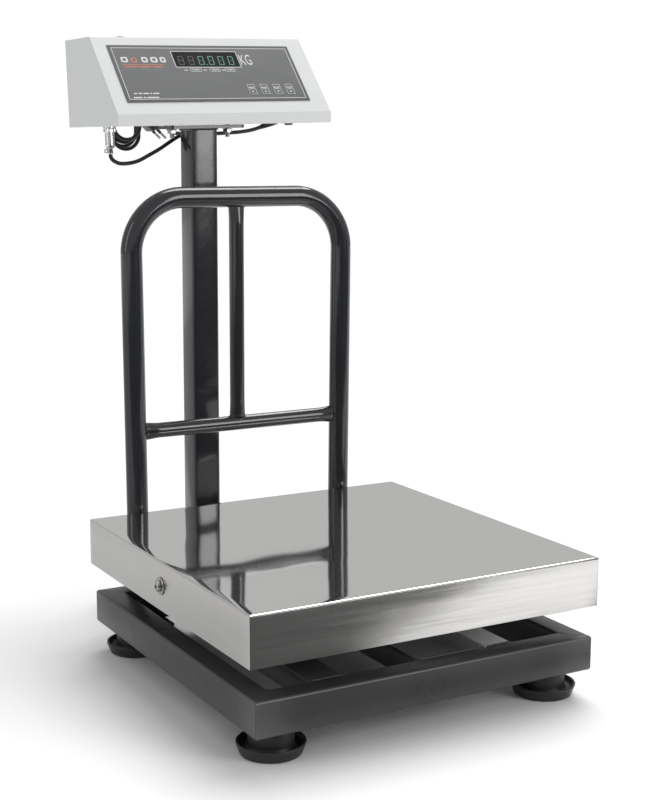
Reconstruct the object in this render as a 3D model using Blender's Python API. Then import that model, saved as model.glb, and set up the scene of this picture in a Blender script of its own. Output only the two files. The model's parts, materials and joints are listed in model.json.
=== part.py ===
"""Platform weighing scale: steel pan on a load cell, guard rail, column and indicator.

Metres, +Z up, front towards -Y, right towards +X. The origin is on the floor, under the
centre of the scale's own box, which leaves out the loose mains lead.
"""

import math

import bmesh
import bpy
from mathutils import Matrix, Vector

# ---------------------------------------------------------------- driving dimensions
GAP = 0.0003  # what touching pieces keep between them
HALF_LENGTH = 0.3065  # front of the pan to the back of the tie base, halved
CORDS_SMOOTH = 2  # bevel resolution of a cord, which gives 8 sides
END_STEP = 0.002  # the first and the last length of a cord, which set how its ends face

# Weighing pan: a folded tray of stainless sheet, open below
PAN_SIZE = 0.400
PAN_Y = PAN_SIZE / 2 - HALF_LENGTH  # centre of the pan, base frame and feet
PAN_TOP = 0.149
PAN_DEPTH = 0.0513
SHEET = 0.0012
PAN_SCREW_Z = 0.124

# Base frame: mitred rectangular tube
BASE_WIDTH = 0.388
BASE_LENGTH = 0.398
BASE_TOP = 0.066
BASE_BOTTOM = 0.029
BASE_TUBE = 0.026
TUBE_WALL = 0.002
TUBE_CORNER = 0.003
RAIL_HEIGHT = 0.025
RAILS = {"left": (-0.105, 0.038), "centre": (0.0358, 0.083), "right": (0.0947, 0.033)}

# Levelling feet
FOOT_X = 0.160
FOOT_Y = 0.164
STUD_RADIUS = 0.004
STUD_HOLE = 0.0044
CORNER_PLATE = 0.006

# Load cell and what carries it
CELL = (0.036, 0.150, 0.028)
CELL_PLATE = 0.008
CELL_SPACER = 0.0058
CELL_BOLT_Y = 0.053  # from the pan's centre to a bolt at either end
BOLT_RADIUS = 0.004
BOLT_HOLE = 0.0043
SUBFRAME_HEIGHT = 0.038
SUBFRAME_TUBE = 0.025
SUBFRAME_WALL = 0.0015

# Rear bracket, column and guard rail
COLUMN_SIZE = 0.035
COLUMN_WALL = 0.0016
COLUMN_Y = 0.2260
COLUMN_TOP = 0.5814
BRACKET_TUBE = 0.038
BRACKET_X = 0.092
LUG_REACH = 0.150  # from the middle to the outer edge of a plate under the guard loop
LUG_END_Y = 0.131
LUG_HEIGHT = 0.006
LUG_DROP = 0.0002  # below the top of the bracket
GUARD_Y = 0.1145
GUARD_RADIUS = 0.0123
GUARD_WALL = 0.0012
GUARD_TOP = 0.504
GUARD_HALF_TOP = 0.1356
GUARD_HALF_FOOT = 0.133
GUARD_BEND = 0.0625
GUARD_BAR_Z = 0.238
GUARD_BAR_RADIUS = 0.0087
GUARD_UPRIGHT_X = -0.0045

# Indicator: wedge of painted sheet with a sloping front
BOX_WIDTH = 0.276
BOX_BACK = 0.3035
BOX_BOTTOM = 0.586
BOX_ROLL = math.radians(-1.67)  # the small lean that the indicator has on its column
BOX_SHIFT = (0.0014, 0.0, 0.0007)
BOX_TOP = 0.689
BOX_TOP_DEPTH = 0.080
BOX_BOTTOM_DEPTH = 0.159
BOX_LIP = 0.0125
BOX_FLANGE = 0.010
COVER_SCREWS = {"left": -0.115, "right": 0.115}
COVER_SCREW_Z = BOX_TOP - SHEET - BOX_FLANGE / 2
MOUNT_PLATE = (0.098, 0.050, 0.004)
MOUNT_BOLT_X = 0.037

# Front panel, measured on the slope from its centre: x to the right, y up the slope
OVERLAY_SIZE = (0.236, 0.088)
OVERLAY_CENTRE = (-0.0025, 0.0022)
FILM = 0.0005
WINDOW_SIZE = (0.0832, 0.0234)
WINDOW_CENTRE = (-0.0009, 0.0242)
KEY_NAMES = ("mode", "tare", "zero", "power")
KEY_SIZE = (0.0105, 0.0165)
KEY_FIRST_X = 0.0432
KEY_PITCH = 0.0170
KEY_Y = -0.0238
KEY_TRAVEL = 0.0004
KEY_STEM = 0.004
BOARD_DEPTH = 0.012

# Signal connector and cables
SOCKET_X = -0.1178
SOCKET_Y = 0.2235
SIGNAL_DIAMETER = 0.0048
MAINS_DIAMETER = 0.0048
GROMMET = (0.0030, COLUMN_Y + COLUMN_SIZE / 2, 0.5660)
BOOT_START = (0.1190, 0.2655, 0.5870)
BOOT_DIRECTION = (-0.9534, -0.0201, -0.3011)
BOOT_LENGTH = 0.018
CABLE_X = -0.018  # where the signal cable runs between the base rails
CABLE_Z = 0.046
HANK_X = (-0.0805, -0.0405)
HANK_Y = (0.3081, 0.3325)
HANK_Z = (0.5535, 0.6965)
TIE_Z = 0.630
PLUG_ROOT = (-0.0169, 0.3305, 0.5833)  # between the roots of the pins
PLUG_AXIS = (0.6985, 0.0, -0.7156)

# From the connector, round the column's back edge, down inside it and on to the load cell
SIGNAL_ROUTE = (
    (-0.1154, 0.2235, 0.5515),
    (-0.1153, 0.2235, 0.5491),
    (-0.1140, 0.2236, 0.5463),
    (-0.1106, 0.2244, 0.5435),
    (-0.1030, 0.2268, 0.5407),
    (-0.0926, 0.2306, 0.5405),
    (-0.0815, 0.2342, 0.5420),
    (-0.0723, 0.2372, 0.5446),
    (-0.0604, 0.2408, 0.5498),
    (-0.0444, 0.2454, 0.5571),
    (-0.0309, 0.2496, 0.5643),
    (-0.0190, 0.2534, 0.5706),
    (-0.0100, 0.2568, 0.5742),
    (-0.0015, 0.2590, 0.5748),
    (0.0034, 0.2570, 0.5712),
    (0.0040, 0.2520, 0.5676),
    (0.0032, 0.2470, 0.5662),
    (0.0030, 0.2435, 0.5660),
    (0.0028, 0.2395, 0.5657),
    (0.0020, 0.2335, 0.5625),
    (0.0012, 0.2290, 0.5550),
    (0.0006, 0.2272, 0.5440),
    (0.0000, 0.2262, 0.5200),
    (-0.0010, 0.2250, 0.4000),
    (0.0010, 0.2270, 0.2500),
    (0.0000, 0.2265, 0.1200),
    (0.0000, 0.2270, 0.0800),
    (-0.0020, 0.2270, 0.0650),
    (-0.0070, 0.2225, 0.0515),
    (-0.0130, 0.2125, 0.0458),
    (-0.0165, 0.2000, 0.0430),
    (-0.0180, 0.1750, 0.0385),
    (-0.0180, 0.1500, 0.0370),
    (-0.0180, 0.1200, 0.0400),
    (-0.0180, 0.0925, 0.0452),
    (-0.0180, 0.0665, 0.0478),
    (-0.0180, 0.0420, 0.0520),
    (-0.0175, 0.0180, 0.0640),
    (-0.0140, -0.0040, 0.0790),
    (-0.0095, -0.0180, 0.0868),
    (-0.0086, -0.0270, 0.0882),
    (-0.0085, -0.0311, 0.0883),
)

# From the boot, behind the column and up behind the indicator to the hank
MAINS_ROUTE = (
    (0.1018, 0.2651, 0.5816),
    (0.0985, 0.2650, 0.5806),
    (0.0880, 0.2645, 0.5782),
    (0.0724, 0.2634, 0.5764),
    (0.0560, 0.2628, 0.5756),
    (0.0400, 0.2630, 0.5751),
    (0.0250, 0.2652, 0.5746),
    (0.0120, 0.2700, 0.5748),
    (0.0020, 0.2765, 0.5754),
    (-0.0045, 0.2850, 0.5764),
    (-0.0072, 0.2945, 0.5782),
    (-0.0076, 0.3035, 0.5815),
    (-0.0076, 0.3095, 0.5858),
    (-0.0076, 0.3132, 0.5922),
    (-0.0076, 0.3142, 0.6010),
    (-0.0076, 0.3142, 0.6150),
    (-0.0080, 0.3140, 0.6280),
    (-0.0105, 0.3135, 0.6400),
    (-0.0165, 0.3125, 0.6495),
    (-0.0260, 0.3115, 0.6540),
    (-0.0402, 0.3110, 0.6550),
)

FINISHES = {
    "black_paint": ((0.030, 0.031, 0.034), 0.25, 0.0),
    "grey_paint": ((0.045, 0.047, 0.050), 0.40, 0.0),
    "pale_metal": ((0.620, 0.620, 0.610), 0.45, 0.8),
    "white_powder": ((0.760, 0.770, 0.770), 0.45, 0.0),
    "stainless": ((0.620, 0.610, 0.590), 0.15, 1.0),
    "zinc": ((0.600, 0.600, 0.590), 0.30, 1.0),
    "chrome": ((0.750, 0.750, 0.750), 0.10, 1.0),
    "aluminium": ((0.600, 0.610, 0.620), 0.35, 1.0),
    "black_rubber": ((0.015, 0.015, 0.016), 0.60, 0.0),
    "black_plastic": ((0.020, 0.020, 0.022), 0.40, 0.0),
    "cord_plastic": ((0.012, 0.012, 0.013), 0.45, 0.0),
    "grey_film": ((0.065, 0.068, 0.072), 0.35, 0.0),
    "smoked_window": ((0.010, 0.012, 0.012), 0.08, 0.0),
    "circuit_board": ((0.020, 0.130, 0.060), 0.40, 0.0),
    "copper_winding": ((0.250, 0.180, 0.090), 0.45, 0.4),
}


# ---------------------------------------------------------------- helpers
def clear_scene():
    for old in list(bpy.data.objects):
        bpy.data.objects.remove(old)


def finish(piece, kind):
    """Gives a piece its own material of one of the finishes."""
    colour, roughness, metallic = FINISHES[kind]
    material = bpy.data.materials.new(piece.name)
    material.use_nodes = True
    shader = material.node_tree.nodes["Principled BSDF"]
    shader.inputs["Base Color"].default_value = (*colour, 1.0)
    shader.inputs["Roughness"].default_value = roughness
    shader.inputs["Metallic"].default_value = metallic
    piece.data.materials.clear()
    piece.data.materials.append(material)


def add_empty(name, location, rotation=(0.0, 0.0, 0.0)):
    empty = bpy.data.objects.new(name, None)
    empty.location = location
    empty.rotation_euler = rotation
    bpy.context.scene.collection.objects.link(empty)
    return empty


def add_mesh(name, mesh_data, kind, location=(0.0, 0.0, 0.0), parent=None, smooth=False):
    """Makes an object of a bmesh; kind None makes a hidden tool for a Boolean."""
    bmesh.ops.recalc_face_normals(mesh_data, faces=mesh_data.faces)
    mesh = bpy.data.meshes.new(name)
    mesh_data.to_mesh(mesh)
    mesh_data.free()
    if smooth:
        mesh.shade_smooth()
        mesh.set_sharp_from_angle(angle=math.radians(35))
    piece = bpy.data.objects.new(name, mesh)
    piece.location = location
    piece.parent = parent
    bpy.context.scene.collection.objects.link(piece)
    if kind is None:
        piece.hide_render = True
        piece.display_type = "WIRE"
    else:
        finish(piece, kind)
    return piece


def combine(piece, tool, operation):
    change = piece.modifiers.new(operation.lower(), "BOOLEAN")
    change.operation = operation
    change.solver = "EXACT"
    change.object = tool


def cut(piece, *tools):
    for tool in tools:
        combine(piece, tool, "DIFFERENCE")


def weld(piece, *tools):
    for tool in tools:
        combine(piece, tool, "UNION")


def round_edges(piece, width, segments=2):
    bevel = piece.modifiers.new("rounding", "BEVEL")
    bevel.width = width
    bevel.segments = segments
    bevel.limit_method = "ANGLE"


def add_block(name, low, high, kind, parent=None):
    """A box between two corners, with its origin at its centre."""
    low, high = Vector(low), Vector(high)
    mesh_data = bmesh.new()
    bmesh.ops.create_cube(mesh_data, size=1.0)
    bmesh.ops.scale(mesh_data, vec=high - low, verts=mesh_data.verts)
    return add_mesh(name, mesh_data, kind, (low + high) / 2, parent)


def circle(radius, count, centre=(0.0, 0.0)):
    turns = [2 * math.pi * (index + 0.5) / count for index in range(count)]
    return [(centre[0] + radius * math.cos(t), centre[1] + radius * math.sin(t)) for t in turns]


def rounded_rectangle(width, height, radius, steps=2):
    """Corner arcs of a rectangle, counterclockwise, as 2-D points."""
    points = []
    for corner, (side_x, side_y) in enumerate(((1, 1), (-1, 1), (-1, -1), (1, -1))):
        centre = (side_x * (width / 2 - radius), side_y * (height / 2 - radius))
        for step in range(steps + 1):
            turn = math.pi / 2 * (corner + step / steps)
            points.append((centre[0] + radius * math.cos(turn), centre[1] + radius * math.sin(turn)))
    return points


def swept_rings(mesh_data, path, section, side, ends):
    """Rings of a section along a path in the plane square to side, mitred where it turns."""
    path = [Vector(point) for point in path]
    side = Vector(side)
    rings = []
    for index, point in enumerate(path):
        ahead = (path[min(index + 1, len(path) - 1)] - path[max(index, 0)]).normalized()
        behind = (point - path[index - 1]).normalized() if index else ahead
        if index == len(path) - 1:
            ahead = behind
        normal = (ahead + behind).normalized()
        if index == 0 and ends[0]:
            normal = Vector(ends[0]).normalized()
        if index == len(path) - 1 and ends[1]:
            normal = Vector(ends[1]).normalized()
        across = side.cross(behind)
        ring = []
        for u, v in section:
            offset = u * across + v * side
            slide = -offset.dot(normal) / behind.dot(normal)
            ring.append(mesh_data.verts.new(point + offset + slide * behind))
        rings.append(ring)
    return rings


def bridge(mesh_data, ring_a, ring_b):
    count = len(ring_a)
    for index in range(count):
        after = (index + 1) % count
        mesh_data.faces.new((ring_a[index], ring_a[after], ring_b[after], ring_b[index]))


def add_tube(name, path, outer, inner, kind, side=(0, 0, 1), ends=(None, None), smooth=False):
    """A hollow tube with open ends; outer and inner are rings of the same count."""
    mesh_data = bmesh.new()
    outside = swept_rings(mesh_data, path, outer, side, ends)
    inside = swept_rings(mesh_data, path, inner, side, ends)
    for index in range(len(path) - 1):
        bridge(mesh_data, outside[index], outside[index + 1])
        bridge(mesh_data, inside[index + 1], inside[index])
    bridge(mesh_data, inside[0], outside[0])
    bridge(mesh_data, outside[-1], inside[-1])
    return add_mesh(name, mesh_data, kind, smooth=smooth)


def add_box_tube(name, path, width, height, wall, kind, side=(0, 0, 1), ends=(None, None)):
    outer = rounded_rectangle(width, height, TUBE_CORNER)
    inner = rounded_rectangle(width - 2 * wall, height - 2 * wall, TUBE_CORNER - wall / 2)
    return add_tube(name, path, outer, inner, kind, side, ends)


def add_turned(name, profile, kind, location=(0.0, 0.0, 0.0), count=24, closed=False, parent=None):
    """Turns (radius, height) points about Z. An open profile starts and ends on the axis."""
    mesh_data = bmesh.new()
    rings = []
    for radius, height in profile:
        if radius == 0.0:
            rings.append([mesh_data.verts.new((0.0, 0.0, height))])
        else:
            rings.append([mesh_data.verts.new((x, y, height)) for x, y in circle(radius, count)])
    pairs = list(zip(rings, rings[1:] + rings[:1]))
    if not closed:
        pairs = pairs[:-1]
    for ring_a, ring_b in pairs:
        if len(ring_a) == len(ring_b) == 1:
            continue
        if len(ring_a) == 1 or len(ring_b) == 1:
            tip, ring = (ring_a, ring_b) if len(ring_a) == 1 else (ring_b, ring_a)
            for index in range(count):
                mesh_data.faces.new((tip[0], ring[index], ring[(index + 1) % count]))
        else:
            bridge(mesh_data, ring_a, ring_b)
    return add_mesh(name, mesh_data, kind, location, parent, smooth=True)


def add_drill(name, start, direction, radius, length, count=16, parent=None):
    """A round cutter from a point along a direction."""
    profile = ((0.0, 0.0), (radius, 0.0), (radius, length), (0.0, length))
    drill = add_turned(name, profile, None, start, count, parent=parent)
    drill.rotation_euler = Vector(direction).to_track_quat("Z", "Y").to_euler()
    return drill


def add_plate(name, outline, holes, low, high, kind, axis="Z", parent=None, location=(0, 0, 0)):
    """An outline with holes, drawn square to an axis and extruded from low to high along it."""
    place = {
        "X": lambda u, v, w: (w, u, v),
        "Y": lambda u, v, w: (u, w, v),
        "Z": lambda u, v, w: (u, v, w),
    }[axis]
    mesh_data = bmesh.new()
    edges = []
    for loop in (outline, *holes):
        corners = [mesh_data.verts.new(place(u, v, low)) for u, v in loop]
        for index, corner in enumerate(corners):
            edges.append(mesh_data.edges.new((corner, corners[(index + 1) % len(corners)])))
    bmesh.ops.triangle_fill(mesh_data, use_beauty=True, use_dissolve=False, edges=edges)
    grown = bmesh.ops.extrude_face_region(mesh_data, geom=list(mesh_data.faces))
    moved = [item for item in grown["geom"] if isinstance(item, bmesh.types.BMVert)]
    bmesh.ops.translate(mesh_data, vec=place(0, 0, high - low), verts=moved)
    return add_mesh(name, mesh_data, kind, location, parent)


def rectangle(width, height, centre=(0.0, 0.0)):
    x, y = centre
    return [
        (x - width / 2, y - height / 2),
        (x + width / 2, y - height / 2),
        (x + width / 2, y + height / 2),
        (x - width / 2, y + height / 2),
    ]


def smooth_route(route, count):
    """Points along a Catmull-Rom curve through a route, evenly spread but for a short step at each end."""
    knots = [Vector(point) for point in route]
    knots = [2 * knots[0] - knots[1], *knots, 2 * knots[-1] - knots[-2]]
    fine = []
    for a, b, c, d in zip(knots, knots[1:], knots[2:], knots[3:]):
        for step in range(24):
            t = step / 24
            fine.append(
                0.5 * (2 * b + (c - a) * t + (2 * a - 5 * b + 4 * c - d) * t**2 + (3 * b - a - 3 * c + d) * t**3)
            )
    fine.append(knots[-2])
    along = [0.0]
    for a, b in zip(fine, fine[1:]):
        along.append(along[-1] + (b - a).length)
    even, index = [], 0
    inner = along[-1] - 2 * END_STEP
    for number in range(-1, count - 1):
        wanted = END_STEP + inner * number / (count - 3)
        wanted = min(max(wanted, 0.0), along[-1])
        while index < len(fine) - 2 and along[index + 1] < wanted:
            index += 1
        share = (wanted - along[index]) / (along[index + 1] - along[index])
        even.append(fine[index].lerp(fine[index + 1], share))
    return even


def add_cord(name, route, diameter, count):
    curve = bpy.data.curves.new(name, "CURVE")
    curve.dimensions = "3D"
    curve.bevel_depth = diameter / 2
    curve.bevel_resolution = CORDS_SMOOTH
    curve.use_fill_caps = True
    spline = curve.splines.new("POLY")
    spline.points.add(count - 1)
    for knot, point in zip(spline.points, smooth_route(route, count)):
        knot.co = (*point, 1.0)
    cord = bpy.data.objects.new(name, curve)
    bpy.context.scene.collection.objects.link(cord)
    finish(cord, "cord_plastic")
    return cord


# ---------------------------------------------------------------- base frame
def build_base_frame():
    half_x = (BASE_WIDTH - BASE_TUBE) / 2
    half_y = (BASE_LENGTH - BASE_TUBE) / 2
    height = BASE_TOP - BASE_BOTTOM
    middle = (BASE_TOP + BASE_BOTTOM) / 2
    slack = GAP * 0.75  # keeps the mitred ends apart
    for name, sign in (("front", -1), ("rear", 1)):
        y = PAN_Y + sign * half_y
        path = ((-half_x + slack, y, middle), (half_x - slack, y, middle))
        ends = ((1, sign, 0), (1, -sign, 0))
        tube = add_box_tube(f"base_{name}_tube", path, BASE_TUBE, height, TUBE_WALL, "grey_paint", ends=ends)
        for side in (-1, 1):
            weld(tube, corner_plate(name, sign, side))
        if name == "rear":
            start = (CABLE_X, y - BASE_TUBE, CABLE_Z)
            cut(tube, add_drill("base_cable_drill", start, (0, 1, 0), 0.006, 2 * BASE_TUBE))
    for name, sign in (("left", -1), ("right", 1)):
        x = sign * half_x
        path = ((x, PAN_Y - half_y + slack, middle), (x, PAN_Y + half_y - slack, middle))
        ends = ((sign, 1, 0), (-sign, 1, 0))
        add_box_tube(f"base_{name}_tube", path, BASE_TUBE, height, TUBE_WALL, "grey_paint", ends=ends)


def corner_plate(end, sign, side):
    """A tapped plate inside a corner, welded to the front or rear tube, which takes a foot."""
    reach = 0.040
    overlap = TUBE_WALL / 2
    outer = BASE_WIDTH / 2 - BASE_TUBE - GAP
    near = BASE_LENGTH / 2 - BASE_TUBE + overlap
    centre = (side * (outer - reach / 2), PAN_Y + sign * (near - reach / 2))
    hole = circle(STUD_HOLE, 12, (side * FOOT_X, PAN_Y + sign * FOOT_Y))
    outline = rectangle(reach, reach, centre)
    low = BASE_BOTTOM + 0.0002
    return add_plate(f"corner_plate_{end}_{side}", outline, [hole], low, low + CORNER_PLATE, None)


def build_rails():
    reach = BASE_LENGTH / 2 - BASE_TUBE - GAP
    middle = BASE_TOP - RAIL_HEIGHT / 2
    for name, (x, width) in RAILS.items():
        path = ((x, PAN_Y - reach, middle), (x, PAN_Y + reach, middle))
        kind = "pale_metal" if name == "right" else "grey_paint"
        add_box_tube(f"base_{name}_rail", path, width, RAIL_HEIGHT, TUBE_WALL, kind)


# ---------------------------------------------------------------- feet
def build_feet():
    pad_profile = (
        (0.0, 0.0),
        (0.0300, 0.0),
        (0.0337, 0.0112),
        (0.0330, 0.0124),
        (0.0312, 0.0120),
        (0.0302, 0.0070),
        (0.0228, 0.0060),
        (0.0218, BASE_BOTTOM - GAP),
        (STUD_HOLE, BASE_BOTTOM - GAP),
        (STUD_HOLE, 0.0040),
        (0.0, 0.0040),
    )
    stud_profile = (
        (0.0, 0.0044),
        (STUD_RADIUS - 0.0006, 0.0044),
        (STUD_RADIUS, 0.0050),
        (STUD_RADIUS, 0.0570),
        (STUD_RADIUS - 0.0010, 0.0580),
        (0.0, 0.0580),
    )
    for end, sign in (("front", -1), ("rear", 1)):
        for side, x in (("left", -FOOT_X), ("right", FOOT_X)):
            axis = add_empty(f"foot_axis_{end}_{side}", (x, PAN_Y + sign * FOOT_Y, 0.0))
            add_turned(f"foot_stud_{end}_{side}", stud_profile, "zinc", count=12, parent=axis)
            add_turned(f"foot_pad_{end}_{side}", pad_profile, "black_rubber", parent=axis)


# ---------------------------------------------------------------- load cell
def dog_bone(radius, spacing, slot, steps=10):
    """Outline of two round holes joined by a slot, as (y, z) points."""
    start = math.asin(slot / radius)
    points = []
    for sign in (1, -1):
        for step in range(steps + 1):
            turn = -math.pi + start + (2 * math.pi - 2 * start) * step / steps
            points.append((sign * (spacing + radius * math.cos(turn)), sign * radius * math.sin(turn)))
    return points


def build_load_cell():
    plate_low = BASE_TOP + GAP
    cell_low = plate_low + CELL_PLATE + GAP
    cell_high = cell_low + CELL[2]
    spacer_low = cell_high + GAP
    fixed_y = PAN_Y + CELL_BOLT_Y
    free_y = PAN_Y - CELL_BOLT_Y
    head_radius, head_height, recess = 0.0065, 0.0045, 0.0052

    low = (-0.120, fixed_y - 0.024, plate_low)
    plate = add_block("load_cell_plate", low, (0.074, fixed_y + 0.021, plate_low + CELL_PLATE), "grey_paint")
    cut(
        plate,
        add_drill("plate_recess", (0, fixed_y, BASE_TOP - 0.001), (0, 0, 1), 0.0072, recess + 0.0013),
        add_drill("plate_hole", (0, fixed_y, BASE_TOP), (0, 0, 1), BOLT_HOLE, 2 * CELL_PLATE),
    )

    low = (-CELL[0] / 2, PAN_Y - CELL[1] / 2, cell_low)
    cell = add_block("load_cell", low, (CELL[0] / 2, PAN_Y + CELL[1] / 2, cell_high), "aluminium")
    bone = [(PAN_Y + y, (cell_low + cell_high) / 2 + z) for y, z in dog_bone(0.0095, 0.018, 0.003)]
    cut(
        cell,
        add_plate("cell_bone", bone, [], -CELL[0], CELL[0], None, axis="X"),
        add_drill("cell_fixed_hole", (0, fixed_y, cell_low - 0.001), (0, 0, 1), BOLT_HOLE, 0.018, 12),
        add_drill("cell_free_hole", (0, free_y, cell_high + 0.001), (0, 0, -1), BOLT_HOLE, 0.018, 12),
    )

    base_bolt = (
        (0.0, plate_low + 0.0003),
        (head_radius, plate_low + 0.0003),
        (head_radius, plate_low + 0.0003 + head_height),
        (BOLT_RADIUS, plate_low + 0.0003 + head_height),
        (BOLT_RADIUS, cell_low + 0.0155),
        (0.0, cell_low + 0.0155),
    )
    add_turned("cell_base_bolt", base_bolt, "zinc", (0, fixed_y, 0), 16)

    low = (-CELL[0] / 2, free_y - 0.0215, spacer_low)
    spacer = add_block("cell_spacer", low, (CELL[0] / 2, free_y + 0.0215, spacer_low + CELL_SPACER), "zinc")
    cut(spacer, add_drill("spacer_hole", (0, free_y, cell_high), (0, 0, 1), BOLT_HOLE, 0.02, 12))

    beam_low = spacer_low + CELL_SPACER + GAP
    seat = beam_low + SUBFRAME_WALL + GAP
    top_bolt = (
        (0.0, cell_high - 0.0155),
        (BOLT_RADIUS, cell_high - 0.0155),
        (BOLT_RADIUS, seat),
        (head_radius, seat),
        (head_radius, seat + head_height),
        (0.0, seat + head_height),
    )
    add_turned("cell_top_bolt", top_bolt, "zinc", (0, free_y, 0), 16)
    return beam_low, free_y


# ---------------------------------------------------------------- platform
def build_subframe(beam_low, bolt_y):
    top = PAN_TOP - SHEET - GAP
    reach = PAN_SIZE / 2 - SHEET - 2 * GAP
    side_x = reach - SUBFRAME_TUBE / 2
    middle = top - SUBFRAME_HEIGHT / 2
    for name, sign in (("left", -1), ("right", 1)):
        x = sign * side_x
        path = ((x, PAN_Y - reach, middle), (x, PAN_Y + reach, middle))
        tube = add_box_tube(
            f"subframe_{name}_tube", path, SUBFRAME_TUBE, SUBFRAME_HEIGHT, SUBFRAME_WALL, "grey_paint"
        )
        start = (x + sign * 0.005, PAN_Y, PAN_SCREW_Z)
        cut(tube, add_drill(f"subframe_{name}_drill", start, (sign, 0, 0), 0.0034, 0.02, 12))
    cross_y = reach - 0.030
    cross_x = reach - SUBFRAME_TUBE - GAP
    for name, sign in (("front", -1), ("rear", 1)):
        y = PAN_Y + sign * cross_y
        path = ((-cross_x, y, top - SUBFRAME_TUBE / 2), (cross_x, y, top - SUBFRAME_TUBE / 2))
        add_box_tube(
            f"subframe_{name}_cross", path, SUBFRAME_TUBE, SUBFRAME_TUBE, SUBFRAME_WALL, "grey_paint"
        )
    beam_y = cross_y - SUBFRAME_TUBE / 2 - GAP
    middle = (top + beam_low) / 2
    path = ((0, PAN_Y - beam_y, middle), (0, PAN_Y + beam_y, middle))
    beam = add_box_tube("subframe_beam", path, 0.050, top - beam_low, SUBFRAME_WALL, "grey_paint")
    cut(
        beam,
        add_drill("beam_bolt_hole", (0, bolt_y, beam_low - 0.001), (0, 0, 1), BOLT_HOLE, 0.004, 12),
        add_drill("beam_access_hole", (0, bolt_y, top - 0.004), (0, 0, 1), 0.0085, 0.01),
    )


def build_pan():
    half = PAN_SIZE / 2
    low = (-half, PAN_Y - half, PAN_TOP - PAN_DEPTH)
    pan = add_block("weighing_pan", low, (half, PAN_Y + half, PAN_TOP), "stainless")
    round_edges(pan, 0.0010)
    inner = half - SHEET
    low = (-inner, PAN_Y - inner, PAN_TOP - PAN_DEPTH - 0.01)
    cut(pan, add_block("pan_hollow", low, (inner, PAN_Y + inner, PAN_TOP - SHEET), None))
    start = (-half - 0.01, PAN_Y, PAN_SCREW_Z)
    cut(pan, add_drill("pan_drill", start, (1, 0, 0), 0.0034, PAN_SIZE + 0.02, 12))


def build_pan_screws():
    profile = (
        (0.0, 0.0),
        (0.0048, 0.0),
        (0.0058, 0.0010),
        (0.0058, 0.0040),
        (0.0095, 0.0042),
        (0.0095, 0.0054),
        (0.0030, 0.0054),
        (0.0030, 0.0220),
        (0.0, 0.0220),
    )
    for name, sign in (("left", -1), ("right", 1)):
        location = (sign * (PAN_SIZE / 2 + 0.0054 + GAP), PAN_Y, PAN_SCREW_Z)
        screw = add_turned(f"pan_screw_{name}", profile, "zinc", location)
        screw.rotation_euler = (0.0, -sign * math.pi / 2, 0.0)


# ---------------------------------------------------------------- rear bracket and column
def build_bracket():
    start_y = PAN_Y + BASE_LENGTH / 2 + GAP
    middle = (BASE_TOP + BASE_BOTTOM) / 2
    path = (
        (-BRACKET_X, start_y, middle),
        (-BRACKET_X, COLUMN_Y, middle),
        (BRACKET_X, COLUMN_Y, middle),
        (BRACKET_X, start_y, middle),
    )
    height = BASE_TOP - BASE_BOTTOM
    bracket = add_box_tube("rear_bracket", path, BRACKET_TUBE, height, TUBE_WALL, "black_paint")
    near = BRACKET_X + (BRACKET_TUBE - TUBE_WALL) / 2
    high = BASE_TOP - LUG_DROP
    for side in (-1, 1):
        ends = sorted((side * near, side * LUG_REACH))
        low = (ends[0], start_y + GAP, high - LUG_HEIGHT)
        weld(bracket, add_block(f"guard_lug_{side}", low, (ends[1], LUG_END_Y, high), None))
    front = COLUMN_Y - BRACKET_TUBE / 2
    cut(
        bracket,
        add_drill("bracket_top_drill", (0, COLUMN_Y, BASE_TOP - 0.01), (0, 0, 1), 0.011, 0.02),
        add_drill("bracket_front_drill", (-0.0152, front - 0.01, 0.0448), (0, 1, 0), 0.0065, 0.02),
    )


def build_column():
    path = ((0, COLUMN_Y, BASE_TOP + GAP), (0, COLUMN_Y, COLUMN_TOP))
    column = add_box_tube("column", path, COLUMN_SIZE, COLUMN_SIZE, COLUMN_WALL, "black_paint", (0, 1, 0))
    start = (GROMMET[0], GROMMET[1] - 0.005, GROMMET[2])
    cut(column, add_drill("column_drill", start, (0, 1, 0), 0.0056, 0.01))

    wall = COLUMN_WALL + 2 * GAP
    profile = (
        (0.0041, 0.0),
        (0.0068, 0.0),
        (0.0074, 0.0006),
        (0.0074, 0.0016),
        (0.0053, 0.0016),
        (0.0053, 0.0016 + wall),
        (0.0049, 0.0026 + wall),
        (0.0041, 0.0026 + wall),
    )
    location = (GROMMET[0], GROMMET[1] + 0.0016 + GAP, GROMMET[2])
    grommet = add_turned("column_grommet", profile, "black_rubber", location, 16, closed=True)
    grommet.rotation_euler = (math.pi / 2, 0.0, 0.0)


def build_mount():
    """The plate on the column's top and the two bolts that hold the indicator to it."""
    holes = [circle(0.0033, 12, (sign * MOUNT_BOLT_X, 0.0)) for sign in (-1, 1)]
    low = COLUMN_TOP + GAP
    outline = rounded_rectangle(MOUNT_PLATE[0], MOUNT_PLATE[1], 0.004)
    location = (0, COLUMN_Y, 0)
    add_plate(
        "column_top_plate", outline, holes, low, low + MOUNT_PLATE[2], "black_paint", location=location
    )

    nut_high = COLUMN_TOP
    head_low = BOX_BOTTOM + SHEET + GAP
    profile = (
        (0.0, nut_high - 0.0105),
        (0.0028, nut_high - 0.0105),
        (0.0030, nut_high - 0.0100),
        (0.0030, nut_high - 0.0050),
        (0.0056, nut_high - 0.0050),
        (0.0056, nut_high),
        (0.0030, nut_high),
        (0.0030, head_low),
        (0.0055, head_low),
        (0.0055, head_low + 0.0040),
        (0.0, head_low + 0.0040),
    )
    for name, sign in (("left", -1), ("right", 1)):
        add_turned(f"mount_bolt_{name}", profile, "zinc", (sign * MOUNT_BOLT_X, COLUMN_Y, 0), 12)


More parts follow.
